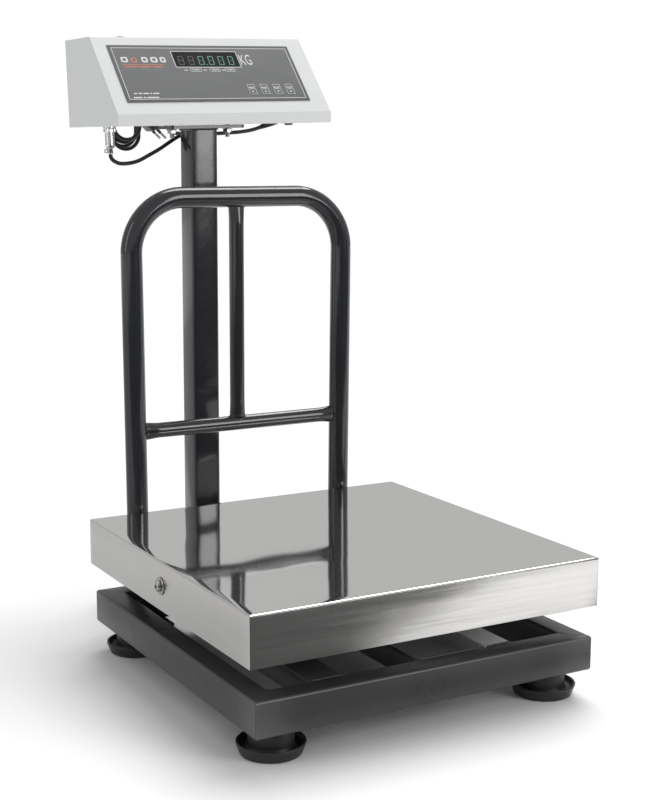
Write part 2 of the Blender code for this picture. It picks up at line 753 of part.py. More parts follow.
def build_guard():
    bend_z = GUARD_TOP - GUARD_BEND
    path = [(-GUARD_HALF_FOOT, GUARD_Y, BASE_TOP + GAP)]
    for centre_x, first in ((-GUARD_HALF_TOP + GUARD_BEND, 180), (GUARD_HALF_TOP - GUARD_BEND, 90)):
        for step in range(9):
            turn = math.radians(first - 90 * step / 8)
            x = centre_x + GUARD_BEND * math.cos(turn)
            path.append((x, GUARD_Y, bend_z + GUARD_BEND * math.sin(turn)))
    path.append((GUARD_HALF_FOOT, GUARD_Y, BASE_TOP + GAP))
    level = (0, 0, 1)
    outer, inner = circle(GUARD_RADIUS, 16), circle(GUARD_RADIUS - GUARD_WALL, 16)
    add_tube(
        "guard_loop", path, outer, inner, "black_paint", (0, 1, 0), (level, level), smooth=True
    )

    outer, inner = circle(GUARD_BAR_RADIUS, 12), circle(GUARD_BAR_RADIUS - GUARD_WALL, 12)
    share = (GUARD_BAR_Z - BASE_TOP) / (bend_z - BASE_TOP)
    leg_x = GUARD_HALF_FOOT + share * (GUARD_HALF_TOP - GUARD_HALF_FOOT)
    reach = leg_x - GUARD_RADIUS - 2 * GAP
    path = ((-reach, GUARD_Y, GUARD_BAR_Z), (reach, GUARD_Y, GUARD_BAR_Z))
    add_tube("guard_crossbar", path, outer, inner, "black_paint", smooth=True)
    low = GUARD_BAR_Z + GUARD_BAR_RADIUS + GAP
    high = GUARD_TOP - GUARD_RADIUS - GAP
    path = ((GUARD_UPRIGHT_X, GUARD_Y, low), (GUARD_UPRIGHT_X, GUARD_Y, high))
    add_tube("guard_upright", path, outer, inner, "black_paint", (0, 1, 0), smooth=True)


# ---------------------------------------------------------------- indicator
def slope_corners():
    front = BOX_BACK - BOX_BOTTOM_DEPTH
    return Vector((0, front, BOX_BOTTOM + BOX_LIP)), Vector((0, BOX_BACK - BOX_TOP_DEPTH, BOX_TOP))


def add_slope_frame():
    """An empty at the slope's centre: its Y runs up the slope and its Z points out of it."""
    low, high = slope_corners()
    rise = high - low
    return add_empty("slope_frame", (low + high) / 2, (math.atan2(rise.z, rise.y), 0.0, 0.0))


def key_centre(index):
    return KEY_FIRST_X + index * KEY_PITCH, KEY_Y


def build_housing(slope):
    front = BOX_BACK - BOX_BOTTOM_DEPTH
    low, high = slope_corners()
    outline = [
        (front, BOX_BOTTOM),
        (BOX_BACK, BOX_BOTTOM),
        (BOX_BACK, BOX_TOP),
        (high.y, high.z),
        (low.y, low.z),
    ]
    half = BOX_WIDTH / 2
    housing = add_plate("indicator_housing", outline, [], -half, half, "white_powder", axis="X")
    rise = high - low
    lean = math.atan2(rise.z, rise.y)
    inner_top = BOX_TOP - SHEET
    lip_top = low.z - SHEET * math.tan(lean / 2)
    top_front = high.y + SHEET * math.tan(lean / 2)
    flange_back = BOX_BACK - SHEET - GAP
    flange_front = flange_back - SHEET
    flange_low = inner_top - BOX_FLANGE
    hollow = [
        (front + SHEET, BOX_BOTTOM - 0.01),
        (BOX_BACK + 0.01, BOX_BOTTOM - 0.01),
        (BOX_BACK + 0.01, inner_top),
        (flange_back, inner_top),
        (flange_back, flange_low),
        (flange_front, flange_low),
        (flange_front, inner_top),
        (top_front, inner_top),
        (front + SHEET, lip_top),
    ]
    inside = half - SHEET
    cut(housing, add_plate("housing_hollow", hollow, [], -inside, inside, None, axis="X"))
    window = rectangle(WINDOW_SIZE[0] + 4 * GAP, WINDOW_SIZE[1] + 4 * GAP, WINDOW_CENTRE)
    cut(housing, add_plate("window_cutter", window, [], -0.01, 0.01, None, parent=slope))
    for index, name in enumerate(KEY_NAMES):
        hole = rectangle(KEY_STEM + 0.001, KEY_STEM + 0.001, key_centre(index))
        cut(housing, add_plate(f"key_cutter_{name}", hole, [], -0.01, 0.01, None, parent=slope))
    for name, x in COVER_SCREWS.items():
        start = (x, flange_front - 0.004, COVER_SCREW_Z)
        cut(housing, add_drill(f"flange_drill_{name}", start, (0, 1, 0), 0.0020, 0.006, 10))


def build_cover():
    """The bottom and the back of the indicator, folded from one sheet."""
    front = BOX_BACK - BOX_BOTTOM_DEPTH + SHEET + GAP
    high = BOX_TOP - SHEET - GAP
    outline = [
        (front, BOX_BOTTOM),
        (BOX_BACK, BOX_BOTTOM),
        (BOX_BACK, high),
        (BOX_BACK - SHEET, high),
        (BOX_BACK - SHEET, BOX_BOTTOM + SHEET),
        (front, BOX_BOTTOM + SHEET),
    ]
    half = BOX_WIDTH / 2 - SHEET - GAP
    cover = add_plate("indicator_cover", outline, [], -half, half, "white_powder", axis="X")
    below = BOX_BOTTOM - 0.005
    for sign in (-1, 1):
        start = (sign * MOUNT_BOLT_X, COLUMN_Y, below)
        cut(cover, add_drill(f"cover_bolt_drill_{sign}", start, (0, 0, 1), 0.0033, 0.01, 12))
    cut(cover, add_drill("socket_drill", (SOCKET_X, SOCKET_Y, below), (0, 0, 1), 0.0063, 0.01))
    slot = rounded_rectangle(0.032, 0.0100, 0.0048, 3)
    location = (BOOT_START[0] - 0.001, BOOT_START[1], below)
    cut(cover, add_plate("boot_slot", slot, [], 0.0, 0.01, None, location=location))
    profile = (
        (0.0, 0.0),
        (0.0026, 0.0),
        (0.0034, 0.0008),
        (0.0034, 0.0019),
        (0.0016, 0.0019),
        (0.0016, 0.0080),
        (0.0, 0.0090),
    )
    for name, x in COVER_SCREWS.items():
        start = (x, BOX_BACK - 0.003, COVER_SCREW_Z)
        cut(cover, add_drill(f"cover_drill_{name}", start, (0, 1, 0), 0.0020, 0.006, 10))
        location = (x, BOX_BACK + 0.0019 + GAP, COVER_SCREW_Z)
        screw = add_turned(f"cover_screw_{name}", profile, "zinc", location, 12)
        screw.rotation_euler = (math.pi / 2, 0.0, 0.0)


def build_front_panel(slope):
    openings = [rectangle(WINDOW_SIZE[0] + 2 * GAP, WINDOW_SIZE[1] + 2 * GAP, WINDOW_CENTRE)]
    for index in range(len(KEY_NAMES)):
        openings.append(rectangle(KEY_SIZE[0] + 2 * GAP, KEY_SIZE[1] + 2 * GAP, key_centre(index)))
    outline = rectangle(*OVERLAY_SIZE, OVERLAY_CENTRE)
    add_plate("front_overlay", outline, openings, GAP, GAP + FILM, "grey_film", parent=slope)
    outline = rectangle(*WINDOW_SIZE, WINDOW_CENTRE)
    add_plate("display_window", outline, [], -0.0015, FILM, "smoked_window", parent=slope)

    for index, name in enumerate(KEY_NAMES):
        x, y = key_centre(index)
        axis = add_empty(f"key_axis_{name}", (x, y, 0.0))
        axis.parent = slope
        low = 2 * GAP
        cap = add_plate(
            f"key_{name}", rounded_rectangle(*KEY_SIZE, 0.001), [], low, low + FILM, "grey_film", parent=axis
        )
        stem = rectangle(KEY_STEM, KEY_STEM)
        weld(cap, add_plate(f"key_stem_{name}", stem, [], -0.0040, low + FILM / 2, None, parent=axis))

    board = add_plate(
        "display_board",
        rectangle(0.160, 0.078, (0.028, 0.0)),
        [],
        -BOARD_DEPTH - 0.0016,
        -BOARD_DEPTH,
        "circuit_board",
        parent=slope,
    )
    overlap = 0.0005
    digits = rectangle(WINDOW_SIZE[0] - 0.004, WINDOW_SIZE[1] - 0.003, WINDOW_CENTRE)
    weld(board, add_plate("digit_block", digits, [], -BOARD_DEPTH - overlap, -0.0040, None, parent=slope))
    for index, name in enumerate(KEY_NAMES):
        body = rectangle(0.006, 0.006, key_centre(index))
        top = -0.0040 - KEY_TRAVEL - GAP
        weld(board, add_plate(f"switch_{name}", body, [], -BOARD_DEPTH - overlap, top, None, parent=slope))


def build_electronics():
    floor = BOX_BOTTOM + SHEET
    low = (-0.030, 0.188, floor + 0.008)
    board = add_block("main_board", low, (0.090, 0.262, floor + 0.0096), "circuit_board")
    for name, x in (("front", -0.022), ("rear", 0.082)):
        post_low = (x - 0.003, 0.192, floor + GAP)
        post = add_block(f"board_post_{name}", post_low, (x + 0.003, 0.198, floor + 0.009), None)
        weld(board, post)
    low = (-0.098, 0.246, floor + GAP)
    transformer = add_block("transformer", low, (-0.050, 0.288, floor + 0.036), "copper_winding")
    round_edges(transformer, 0.002)


def build_connector():
    """The panel socket, the ring that locks the plug to it, and the plug's shell."""
    socket = (
        (0.0049, BOX_BOTTOM - 0.0018),
        (0.0075, BOX_BOTTOM - 0.0018),
        (0.0075, BOX_BOTTOM - GAP),
        (0.0060, BOX_BOTTOM - GAP),
        (0.0060, BOX_BOTTOM + SHEET + GAP),
        (0.0085, BOX_BOTTOM + SHEET + GAP),
        (0.0085, BOX_BOTTOM + SHEET + 0.003),
        (0.0060, BOX_BOTTOM + SHEET + 0.003),
        (0.0060, BOX_BOTTOM + 0.0120),
        (0.0, BOX_BOTTOM + 0.0120),
        (0.0, BOX_BOTTOM + 0.0030),
        (0.0049, BOX_BOTTOM + 0.0030),
    )
    location = (SOCKET_X, SOCKET_Y, 0)
    add_turned("signal_socket", socket, "chrome", location, 20, closed=True)
    ring_high = BOX_BOTTOM - 0.0018 - GAP
    ring_low = 0.5797
    ring = ((0.0052, ring_low), (0.0072, ring_low), (0.0072, ring_high), (0.0052, ring_high))
    add_turned("coupling_ring", ring, "chrome", location, 20, closed=True)
    shell = (
        (0.0, 0.5545),
        (0.0046, 0.5545),
        (0.0046, 0.5612),
        (0.0056, 0.5622),
        (0.0056, ring_low - GAP),
        (0.0045, ring_low - GAP),
        (0.0045, BOX_BOTTOM + 0.0020),
        (0.0, BOX_BOTTOM + 0.0020),
    )
    body = add_turned("signal_plug", shell, "chrome", location, 20)
    low = (SOCKET_X - 0.0068, SOCKET_Y - 0.0034, 0.5555)
    weld(body, add_block("plug_clamp", low, (SOCKET_X + 0.0068, SOCKET_Y + 0.0034, 0.5605), None))


def build_boot():
    """The slanting strain relief of the mains lead, through the bottom cover."""
    profile = (
        (0.0, -0.010),
        (0.0038, -0.010),
        (0.0042, -0.006),
        (0.0042, 0.002),
        (0.0030, BOOT_LENGTH - 0.001),
        (0.0027, BOOT_LENGTH - GAP),
        (0.0, BOOT_LENGTH - GAP),
    )
    boot = add_turned("mains_boot", profile, "black_rubber", BOOT_START, 16)
    boot.rotation_euler = Vector(BOOT_DIRECTION).to_track_quat("Z", "Y").to_euler()


# ---------------------------------------------------------------- cords and what is on them
def build_mains_lead():
    add_cord("mains_cord", MAINS_ROUTE, MAINS_DIAMETER, 28)

    width = HANK_X[1] - HANK_X[0]
    height = HANK_Z[1] - HANK_Z[0]
    centre = (sum(HANK_X) / 2, 0.0, sum(HANK_Z) / 2)
    outline = rounded_rectangle(width, height, width / 2 - 0.0001, 8)
    add_plate("mains_hank", outline, [], *HANK_Y, "cord_plastic", axis="Y", location=centre)

    base_low = (centre[0] - 0.009, BOX_BACK + GAP, TIE_Z - 0.009)
    base = add_block("tie_base", base_low, (centre[0] + 0.009, HALF_LENGTH, TIE_Z + 0.009), "black_plastic")
    round_edges(base, 0.0006, 1)
    depth = HANK_Y[1] - HANK_Y[0]
    inner = rounded_rectangle(width + 2 * GAP, depth + 2 * GAP, 0.0006)
    outer = rounded_rectangle(width + 2 * GAP + 0.002, depth + 2 * GAP + 0.002, 0.003)
    location = (centre[0], sum(HANK_Y) / 2, 0.0)
    add_plate(
        "hank_tie", outer, [inner], TIE_Z - 0.002, TIE_Z + 0.002, "black_plastic", location=location
    )


def build_plug():
    """A flat two-pin plug; its local Z runs along the pins."""
    place = add_empty("plug_frame", PLUG_ROOT)
    lean = Matrix.Rotation(math.atan2(PLUG_AXIS[0], PLUG_AXIS[2]), 3, "Y")
    place.rotation_euler = lean.to_euler()
    body = add_block("mains_plug", (-0.0065, -0.015, -0.024), (0.0065, 0.015, 0.0), "black_plastic", place)
    round_edges(body, 0.003)
    for sign in (-1, 1):
        start = (0.0, sign * 0.0093, -0.001)
        weld(body, add_drill(f"plug_pin_{sign}", start, (0, 0, 1), 0.0020, 0.020, 12, parent=place))
    weld(body, add_drill("plug_neck", (0.0, 0.0, -0.029), (0, 0, 1), 0.0034, 0.006, 12, parent=place))


def seat_indicator(pieces):
    """Leans the indicator on the column, together with its mount and its mains lead."""
    pivot = Vector((0.0, COLUMN_Y, BOX_BOTTOM))
    seat = add_empty("indicator_seat", pivot + Vector(BOX_SHIFT), (0.0, BOX_ROLL, 0.0))
    for piece in pieces:
        if piece.parent is None:
            piece.parent = seat
            piece.location -= pivot


def build():
    clear_scene()
    build_base_frame()
    build_rails()
    build_feet()
    beam_low, bolt_y = build_load_cell()
    build_subframe(beam_low, bolt_y)
    build_pan()
    build_pan_screws()
    build_bracket()
    build_column()
    build_guard()
    add_cord("signal_cable", SIGNAL_ROUTE, SIGNAL_DIAMETER, 80)

    already = set(bpy.data.objects)
    build_mount()
    slope = add_slope_frame()
    build_housing(slope)
    build_cover()
    build_front_panel(slope)
    build_electronics()
    build_connector()
    build_boot()
    build_mains_lead()
    build_plug()
    seat_indicator(set(bpy.data.objects) - already)


build()
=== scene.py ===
"""The looks of the platform scale: camera, light, cords and detailed pieces with finishes of their own."""

import json
import math

import bmesh
import bpy
from mathutils import Matrix, Vector, noise

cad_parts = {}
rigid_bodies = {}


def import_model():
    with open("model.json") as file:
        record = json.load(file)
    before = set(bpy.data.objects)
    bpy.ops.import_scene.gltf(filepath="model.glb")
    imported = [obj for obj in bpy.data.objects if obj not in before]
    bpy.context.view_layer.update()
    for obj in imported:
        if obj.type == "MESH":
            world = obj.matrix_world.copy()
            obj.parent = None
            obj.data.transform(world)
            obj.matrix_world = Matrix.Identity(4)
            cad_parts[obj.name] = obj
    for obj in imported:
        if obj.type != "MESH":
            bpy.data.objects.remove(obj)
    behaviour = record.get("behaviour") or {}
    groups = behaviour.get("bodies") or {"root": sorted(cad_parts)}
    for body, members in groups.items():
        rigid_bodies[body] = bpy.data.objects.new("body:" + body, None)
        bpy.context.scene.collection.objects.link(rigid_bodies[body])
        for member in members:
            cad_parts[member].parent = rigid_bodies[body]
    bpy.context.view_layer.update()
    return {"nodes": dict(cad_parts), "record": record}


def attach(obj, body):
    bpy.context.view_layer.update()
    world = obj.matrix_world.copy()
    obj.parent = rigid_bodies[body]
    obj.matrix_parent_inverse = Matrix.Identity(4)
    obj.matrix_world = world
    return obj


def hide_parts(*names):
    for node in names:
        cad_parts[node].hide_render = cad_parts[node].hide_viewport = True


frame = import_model()

# ---------------------------------------------------------------- sizes, as in the CAD part, in metres
HALF_LENGTH = 0.3065
PAN_SIZE = 0.400
PAN_Y = PAN_SIZE / 2 - HALF_LENGTH
PAN_TOP = 0.149
PAN_DEPTH = 0.0513
SHEET = 0.0012
PAN_BEND = 0.0022
PAN_SCREW_Z = 0.124
BASE_WIDTH = 0.388
BASE_LENGTH = 0.398
BASE_TOP = 0.066
BASE_BOTTOM = 0.029
BASE_TUBE = 0.026
TUBE_WALL = 0.002
TUBE_CORNER = 0.003
RAIL_HEIGHT = 0.025
RAILS = {"left": (-0.105, 0.038), "centre": (0.0358, 0.083), "right": (0.0947, 0.033)}
FOOT_X = 0.160
FOOT_Y = 0.164
STUD_HOLE = 0.0044
GAP = 0.0003
COLUMN_SIZE = 0.035
COLUMN_WALL = 0.0016
COLUMN_Y = 0.2260
COLUMN_TOP = 0.5814
BRACKET_TUBE = 0.038
BRACKET_X = 0.092
LUG_REACH = 0.150
LUG_END_Y = 0.131
LUG_HEIGHT = 0.006
LUG_DROP = 0.0002
BRACKET_START = PAN_Y + BASE_LENGTH / 2 + GAP
GUARD_Y = 0.1145
GUARD_RADIUS = 0.0123
GUARD_TOP = 0.504
GUARD_HALF_TOP = 0.1356
GUARD_HALF_FOOT = 0.133
GUARD_BEND = 0.0625
GUARD_BAR_Z = 0.238
GUARD_BAR_RADIUS = 0.0087
GUARD_UPRIGHT_X = -0.0045
BOX_WIDTH = 0.276
BOX_BACK = 0.3035
BOX_BOTTOM = 0.586
BOX_ROLL = math.radians(-1.67)
BOX_SHIFT = (0.0014, 0.0, 0.0007)
BOX_TOP = 0.689
BOX_TOP_DEPTH = 0.080
BOX_BOTTOM_DEPTH = 0.159
BOX_LIP = 0.0125
COVER_SCREWS = {"left": -0.115, "right": 0.115}
COVER_SCREW_Z = 0.6828
MOUNT_PLATE = (0.098, 0.050, 0.004)
MOUNT_BOLT_X = 0.037
OVERLAY_SIZE = (0.236, 0.088)
OVERLAY_CENTRE = (-0.0025, 0.0022)
FILM = 0.0005
WINDOW_SIZE = (0.0832, 0.0234)
WINDOW_CENTRE = (-0.0009, 0.0242)
KEY_NAMES = ("mode", "tare", "zero", "power")
KEY_SIZE = (0.0105, 0.0165)
KEY_FIRST_X = 0.0432
KEY_PITCH = 0.0170
KEY_Y = -0.0238
KEY_STEM = 0.004
SOCKET_X = -0.1178
SOCKET_Y = 0.2235
CORD_DIAMETER = 0.0048
CORD_STEP = 0.003  # between points of a cord's curve
BOOT_START = (0.1190, 0.2655, 0.5870)
BOOT_DIRECTION = (-0.9534, -0.0201, -0.3011)
BOOT_LENGTH = 0.018
GROMMET = (0.0030, COLUMN_Y + COLUMN_SIZE / 2, 0.5660)
HANK_X = -0.0605
HANK_HALF = 0.0174  # half the width of a turn of the hank, on the cord's centreline
TIE_Z = 0.630
PLUG_ROOT = (-0.0169, 0.3305, 0.5833)
PLUG_AXIS = (0.6985, 0.0, -0.7156)
PRINT = 0.00005  # thickness of a printed line on the front panel
DIGIT_COUNT = 6
BLANK_DIGITS = 2  # from the left
DIGIT_FIRST_X = -0.0338
DIGIT_PITCH = 0.0130
DIGIT_Y = 0.0226
DIGIT_SIZE = (0.0074, 0.0142)
DIGIT_STROKE = 0.0014
DIGIT_SLANT = 0.07
DIGIT_INSET = 0.00022  # between neighbouring bars
WELD_RIPPLE = 0.0032
WELD_SIDES = 8
PAN_CORNER_STEPS = 4
PAN_SIDE_STEPS = 24

# ---------------------------------------------------------------- camera and light
CAMERA_PLACE = (-0.7697, -1.4483, 0.5631)
CAMERA_YAW = math.radians(29.84)
CAMERA_PITCH = math.radians(9.7175)
CAMERA_ROLL = 0.0051
CAMERA_LENS = 66.91
BACKDROP = 1.05  # the background's radiance; the lights below are in the same units
FILL = 0.50  # what surfaces get from all round
OVERHEAD = 0.75
OVERHEAD_DIRECTION = (-0.40, -0.35, -1.0)
FLOOR_HALF = 9.0
CARD_LEVEL = 0.004  # above the floor
CARD_SHADE = 0.07
GREY_CARD_SHADE = 0.48

SIGNAL_ROUTE = (
    (-0.1154, 0.2235, 0.5515), (-0.1153, 0.2235, 0.5491), (-0.1140, 0.2236, 0.5463),
    (-0.1106, 0.2244, 0.5435), (-0.1030, 0.2268, 0.5407), (-0.0926, 0.2306, 0.5405),
    (-0.0815, 0.2342, 0.5420), (-0.0723, 0.2372, 0.5446), (-0.0604, 0.2408, 0.5498),
    (-0.0444, 0.2454, 0.5571), (-0.0309, 0.2496, 0.5643), (-0.0190, 0.2534, 0.5706),
    (-0.0100, 0.2568, 0.5742), (-0.0015, 0.2590, 0.5748), (0.0034, 0.2570, 0.5712),
    (0.0040, 0.2520, 0.5676), (0.0032, 0.2470, 0.5662), (0.0030, 0.2435, 0.5660), (0.0028, 0.2395, 0.5657),
    (0.0020, 0.2335, 0.5625), (0.0012, 0.2290, 0.5550), (0.0006, 0.2272, 0.5440), (0.0000, 0.2262, 0.5200),
    (-0.0010, 0.2250, 0.4000), (0.0010, 0.2270, 0.2500), (0.0000, 0.2265, 0.1200), (0.0000, 0.2270, 0.0800),
    (-0.0020, 0.2270, 0.0650), (-0.0070, 0.2225, 0.0515), (-0.0130, 0.2125, 0.0458),
    (-0.0165, 0.2000, 0.0430), (-0.0180, 0.1750, 0.0385), (-0.0180, 0.1500, 0.0370),
    (-0.0180, 0.1200, 0.0400), (-0.0180, 0.0925, 0.0452), (-0.0180, 0.0665, 0.0478),
    (-0.0180, 0.0420, 0.0520), (-0.0175, 0.0180, 0.0640), (-0.0140, -0.0040, 0.0790),
    (-0.0095, -0.0180, 0.0868), (-0.0086, -0.0270, 0.0882), (-0.0085, -0.0311, 0.0883),
)

MAINS_ROUTE = (
    (0.1018, 0.2651, 0.5816), (0.0985, 0.2650, 0.5806), (0.0880, 0.2645, 0.5782), (0.0724, 0.2634, 0.5764),
    (0.0560, 0.2628, 0.5756), (0.0400, 0.2630, 0.5751), (0.0250, 0.2652, 0.5746), (0.0120, 0.2700, 0.5748),
    (0.0020, 0.2765, 0.5754), (-0.0045, 0.2850, 0.5764), (-0.0072, 0.2945, 0.5782),
    (-0.0076, 0.3035, 0.5815), (-0.0076, 0.3095, 0.5858), (-0.0076, 0.3132, 0.5922),
    (-0.0076, 0.3142, 0.6010), (-0.0076, 0.3142, 0.6150), (-0.0080, 0.3140, 0.6280),
    (-0.0105, 0.3135, 0.6400), (-0.0165, 0.3125, 0.6495), (-0.0260, 0.3115, 0.6540),
    (-0.0402, 0.3110, 0.6550),
)

# The hank's turns lie one behind the other, each with its own bottom, between tops of its own
HANK_DEPTH = 0.3105
HANK_STEP = 0.0048
HANK_TOPS = (0.6560, 0.6925, 0.6936, 0.6890, 0.6905)
HANK_BOTTOMS = (0.5700, 0.5582, 0.5668, 0.5620)
HANK_LEAN = 0.0006
PLUG_NECK = 0.0300

# The indicator, its mount and its mains lead lean as one about the column's top
PIVOT = Vector((0.0, COLUMN_Y, BOX_BOTTOM))
ROLL = Matrix.Rotation(BOX_ROLL, 4, "Y")
LEAN = Matrix.Translation(PIVOT + Vector(BOX_SHIFT)) @ ROLL @ Matrix.Translation(-PIVOT)


# ---------------------------------------------------------------- shapes
def circle(radius, count, centre=(0.0, 0.0)):
    turns = [2 * math.pi * (index + 0.5) / count for index in range(count)]
    return [(centre[0] + radius * math.cos(t), centre[1] + radius * math.sin(t)) for t in turns]


def rectangle(width, height, centre=(0.0, 0.0)):
    x, y = centre
    return [
        (x - width / 2, y - height / 2), (x + width / 2, y - height / 2), (x + width / 2, y + height / 2),
        (x - width / 2, y + height / 2),
    ]


def rounded_rectangle(width, height, radius, steps=4, centre=(0.0, 0.0)):
    points = []
    for corner, (side_x, side_y) in enumerate(((1, 1), (-1, 1), (-1, -1), (1, -1))):
        middle = (centre[0] + side_x * (width / 2 - radius), centre[1] + side_y * (height / 2 - radius))
        for step in range(steps + 1):
            turn = math.pi / 2 * (corner + step / steps)
            points.append((middle[0] + radius * math.cos(turn), middle[1] + radius * math.sin(turn)))
    return points


def bridge(mesh_data, ring_a, ring_b):
    count = len(ring_a)
    for index in range(count):
        after = (index + 1) % count
        mesh_data.faces.new((ring_a[index], ring_a[after], ring_b[after], ring_b[index]))


def swept_rings(mesh_data, path, section, side, ends=(None, None), scale=None):
    """Rings of a section along a path in the plane square to side, mitred where it turns."""
    path = [Vector(point) for point in path]
    side = Vector(side)
    rings = []
    for index, point in enumerate(path):
        last = index == len(path) - 1
        behind = (point - path[index - 1]).normalized() if index else (path[1] - point).normalized()
        ahead = behind if last else (path[index + 1] - point).normalized()
        normal = (ahead + behind).normalized()
        if index == 0 and ends[0]:
            normal = Vector(ends[0]).normalized()
        if last and ends[1]:
            normal = Vector(ends[1]).normalized()
        across = side.cross(behind)
        wide, tall = scale[index] if scale else (1.0, 1.0)
        ring = []
        for u, v in section:
            offset = u * wide * across + v * tall * side
            slide = -offset.dot(normal) / behind.dot(normal)
            ring.append(mesh_data.verts.new(point + offset + slide * behind))
        rings.append(ring)
    return rings


def tube(path, outer, inner, side=(0, 0, 1), ends=(None, None), scale=None):
    """A hollow tube with open ends."""
    mesh_data = bmesh.new()
    outside = swept_rings(mesh_data, path, outer, side, ends, scale)
    inside = swept_rings(mesh_data, path, inner, side, ends, scale)
    for index in range(len(path) - 1):
        bridge(mesh_data, outside[index], outside[index + 1])
        bridge(mesh_data, inside[index + 1], inside[index])
    bridge(mesh_data, inside[0], outside[0])
    bridge(mesh_data, outside[-1], inside[-1])
    return mesh_data


def box_tube(path, width, height, wall, side=(0, 0, 1), ends=(None, None), corner=TUBE_CORNER):
    outer = rounded_rectangle(width, height, corner)
    inner = rounded_rectangle(width - 2 * wall, height - 2 * wall, corner - wall / 2)
    return tube(path, outer, inner, side, ends)


def straight(start, end, count):
    start, end = Vector(start), Vector(end)
    return [start.lerp(end, index / count) for index in range(count + 1)]


def turned(profile, count=48, closed=False):
    """Turns (radius, height) points about Z. An open profile starts and ends on the axis."""
    mesh_data = bmesh.new()
    rings = []
    for radius, height in profile:
        if radius == 0.0:
            rings.append([mesh_data.verts.new((0.0, 0.0, height))])
        else:
            rings.append([mesh_data.verts.new((x, y, height)) for x, y in circle(radius, count)])
    pairs = list(zip(rings, rings[1:] + rings[:1]))
    if not closed:
        pairs = pairs[:-1]
    for ring_a, ring_b in pairs:
        if len(ring_a) == len(ring_b) == 1:
            continue
        if len(ring_a) == 1 or len(ring_b) == 1:
            tip, ring = (ring_a, ring_b) if len(ring_a) == 1 else (ring_b, ring_a)
            for index in range(count):
                mesh_data.faces.new((tip[0], ring[index], ring[(index + 1) % count]))
        else:
            bridge(mesh_data, ring_a, ring_b)
    return mesh_data


def plate(outline, holes, low, high, axis="Z"):
    """An outline with holes, drawn square to an axis and extruded from low to high along it."""
    place = {
        "X": lambda u, v, w: (w, u, v),
        "Y": lambda u, v, w: (u, w, v),
        "Z": lambda u, v, w: (u, v, w),
    }[axis]
    mesh_data = bmesh.new()
    edges = []
    for loop in (outline, *holes):
        corners = [mesh_data.verts.new(place(u, v, low)) for u, v in loop]
        for index, corner in enumerate(corners):
            edges.append(mesh_data.edges.new((corner, corners[(index + 1) % len(corners)])))
    bmesh.ops.triangle_fill(mesh_data, use_beauty=True, use_dissolve=False, edges=edges)
    grown = bmesh.ops.extrude_face_region(mesh_data, geom=list(mesh_data.faces))
    moved = [item for item in grown["geom"] if isinstance(item, bmesh.types.BMVert)]
    bmesh.ops.translate(mesh_data, vec=place(0, 0, high - low), verts=moved)
    return mesh_data


def block(low, high):
    low, high = Vector(low), Vector(high)
    mesh_data = bmesh.new()
    bmesh.ops.create_cube(mesh_data, size=1.0)
    bmesh.ops.scale(mesh_data, vec=high - low, verts=mesh_data.verts)
    bmesh.ops.translate(mesh_data, vec=(low + high) / 2, verts=mesh_data.verts)
    return mesh_data


def gather(*parts):
    """One bmesh of several."""
    whole = bmesh.new()
    for part in parts:
        loose = bpy.data.meshes.new("loose")
        part.to_mesh(loose)
        part.free()
        whole.from_mesh(loose)
        bpy.data.meshes.remove(loose)
    return whole


def moved(mesh_data, matrix):
    mesh_data.transform(matrix)
    return mesh_data


def aimed(start, direction):
    """A matrix that puts local Z along a direction, from a point."""
    return Matrix.Translation(start) @ Vector(direction).to_track_quat("Z", "Y").to_matrix().to_4x4()


def bead(path, radius, closed=True):
    """A weld bead: a thick wire along a path, which swells at each ripple."""
    mesh_data = bmesh.new()
    points = [Vector(point) for point in path]
    along, rings = 0.0, []
    count = len(points)
    for index, point in enumerate(points):
        before = points[(index - 1) % count] if closed or index else point
        after = points[(index + 1) % count] if closed or index < count - 1 else point
        direction = (after - before).normalized()
        along += (point - points[index - 1]).length if index else 0.0
        across = direction.orthogonal().normalized()
        up = direction.cross(across)
        swell = 1 + 0.16 * math.sin(2 * math.pi * along / WELD_RIPPLE) + 0.22 * noise.noise(point * 240)
        rings.append(
            [
                mesh_data.verts.new(point + radius * swell * (u * across + v * up))
                for u, v in circle(1.0, WELD_SIDES)
            ]
        )
    pairs = list(zip(rings, rings[1:] + rings[:1])) if closed else list(zip(rings, rings[1:]))
    for ring_a, ring_b in pairs:
        near = min(range(WELD_SIDES), key=lambda turn: (ring_b[turn].co - ring_a[0].co).length)
        bridge(mesh_data, ring_a, ring_b[near:] + ring_b[:near])
    if not closed:
        mesh_data.faces.new(rings[0])
        mesh_data.faces.new(rings[-1])
    return mesh_data


def smooth_route(route, spacing):
    """Points spread evenly along a Catmull-Rom curve through a route."""
    knots = [Vector(point) for point in route]
    knots = [2 * knots[0] - knots[1], *knots, 2 * knots[-1] - knots[-2]]
    fine = []
    for a, b, c, d in zip(knots, knots[1:], knots[2:], knots[3:]):
        for step in range(24):
            t = step / 24
            linear = (c - a) * t
            square = (2 * a - 5 * b + 4 * c - d) * t**2
            cube = (3 * b - a - 3 * c + d) * t**3
            fine.append(0.5 * (2 * b + linear + square + cube))
    fine.append(knots[-2])
    along = [0.0]
    for a, b in zip(fine, fine[1:]):
        along.append(along[-1] + (b - a).length)
    count = max(2, round(along[-1] / spacing))
    even, index = [], 0
    for number in range(count + 1):
        wanted = along[-1] * number / count
        while index < len(fine) - 2 and along[index + 1] < wanted:
            index += 1
        share = (wanted - along[index]) / max(along[index + 1] - along[index], 1e-9)
        even.append(fine[index].lerp(fine[index + 1], share))
    return even


# ---------------------------------------------------------------- finishes
def add_node(tree, kind, values=None, **settings):
    node = tree.nodes.new(kind)
    for key, value in settings.items():
        setattr(node, key, value)
    for key, value in (values or {}).items():
        node.inputs[key].default_value = value
    return node


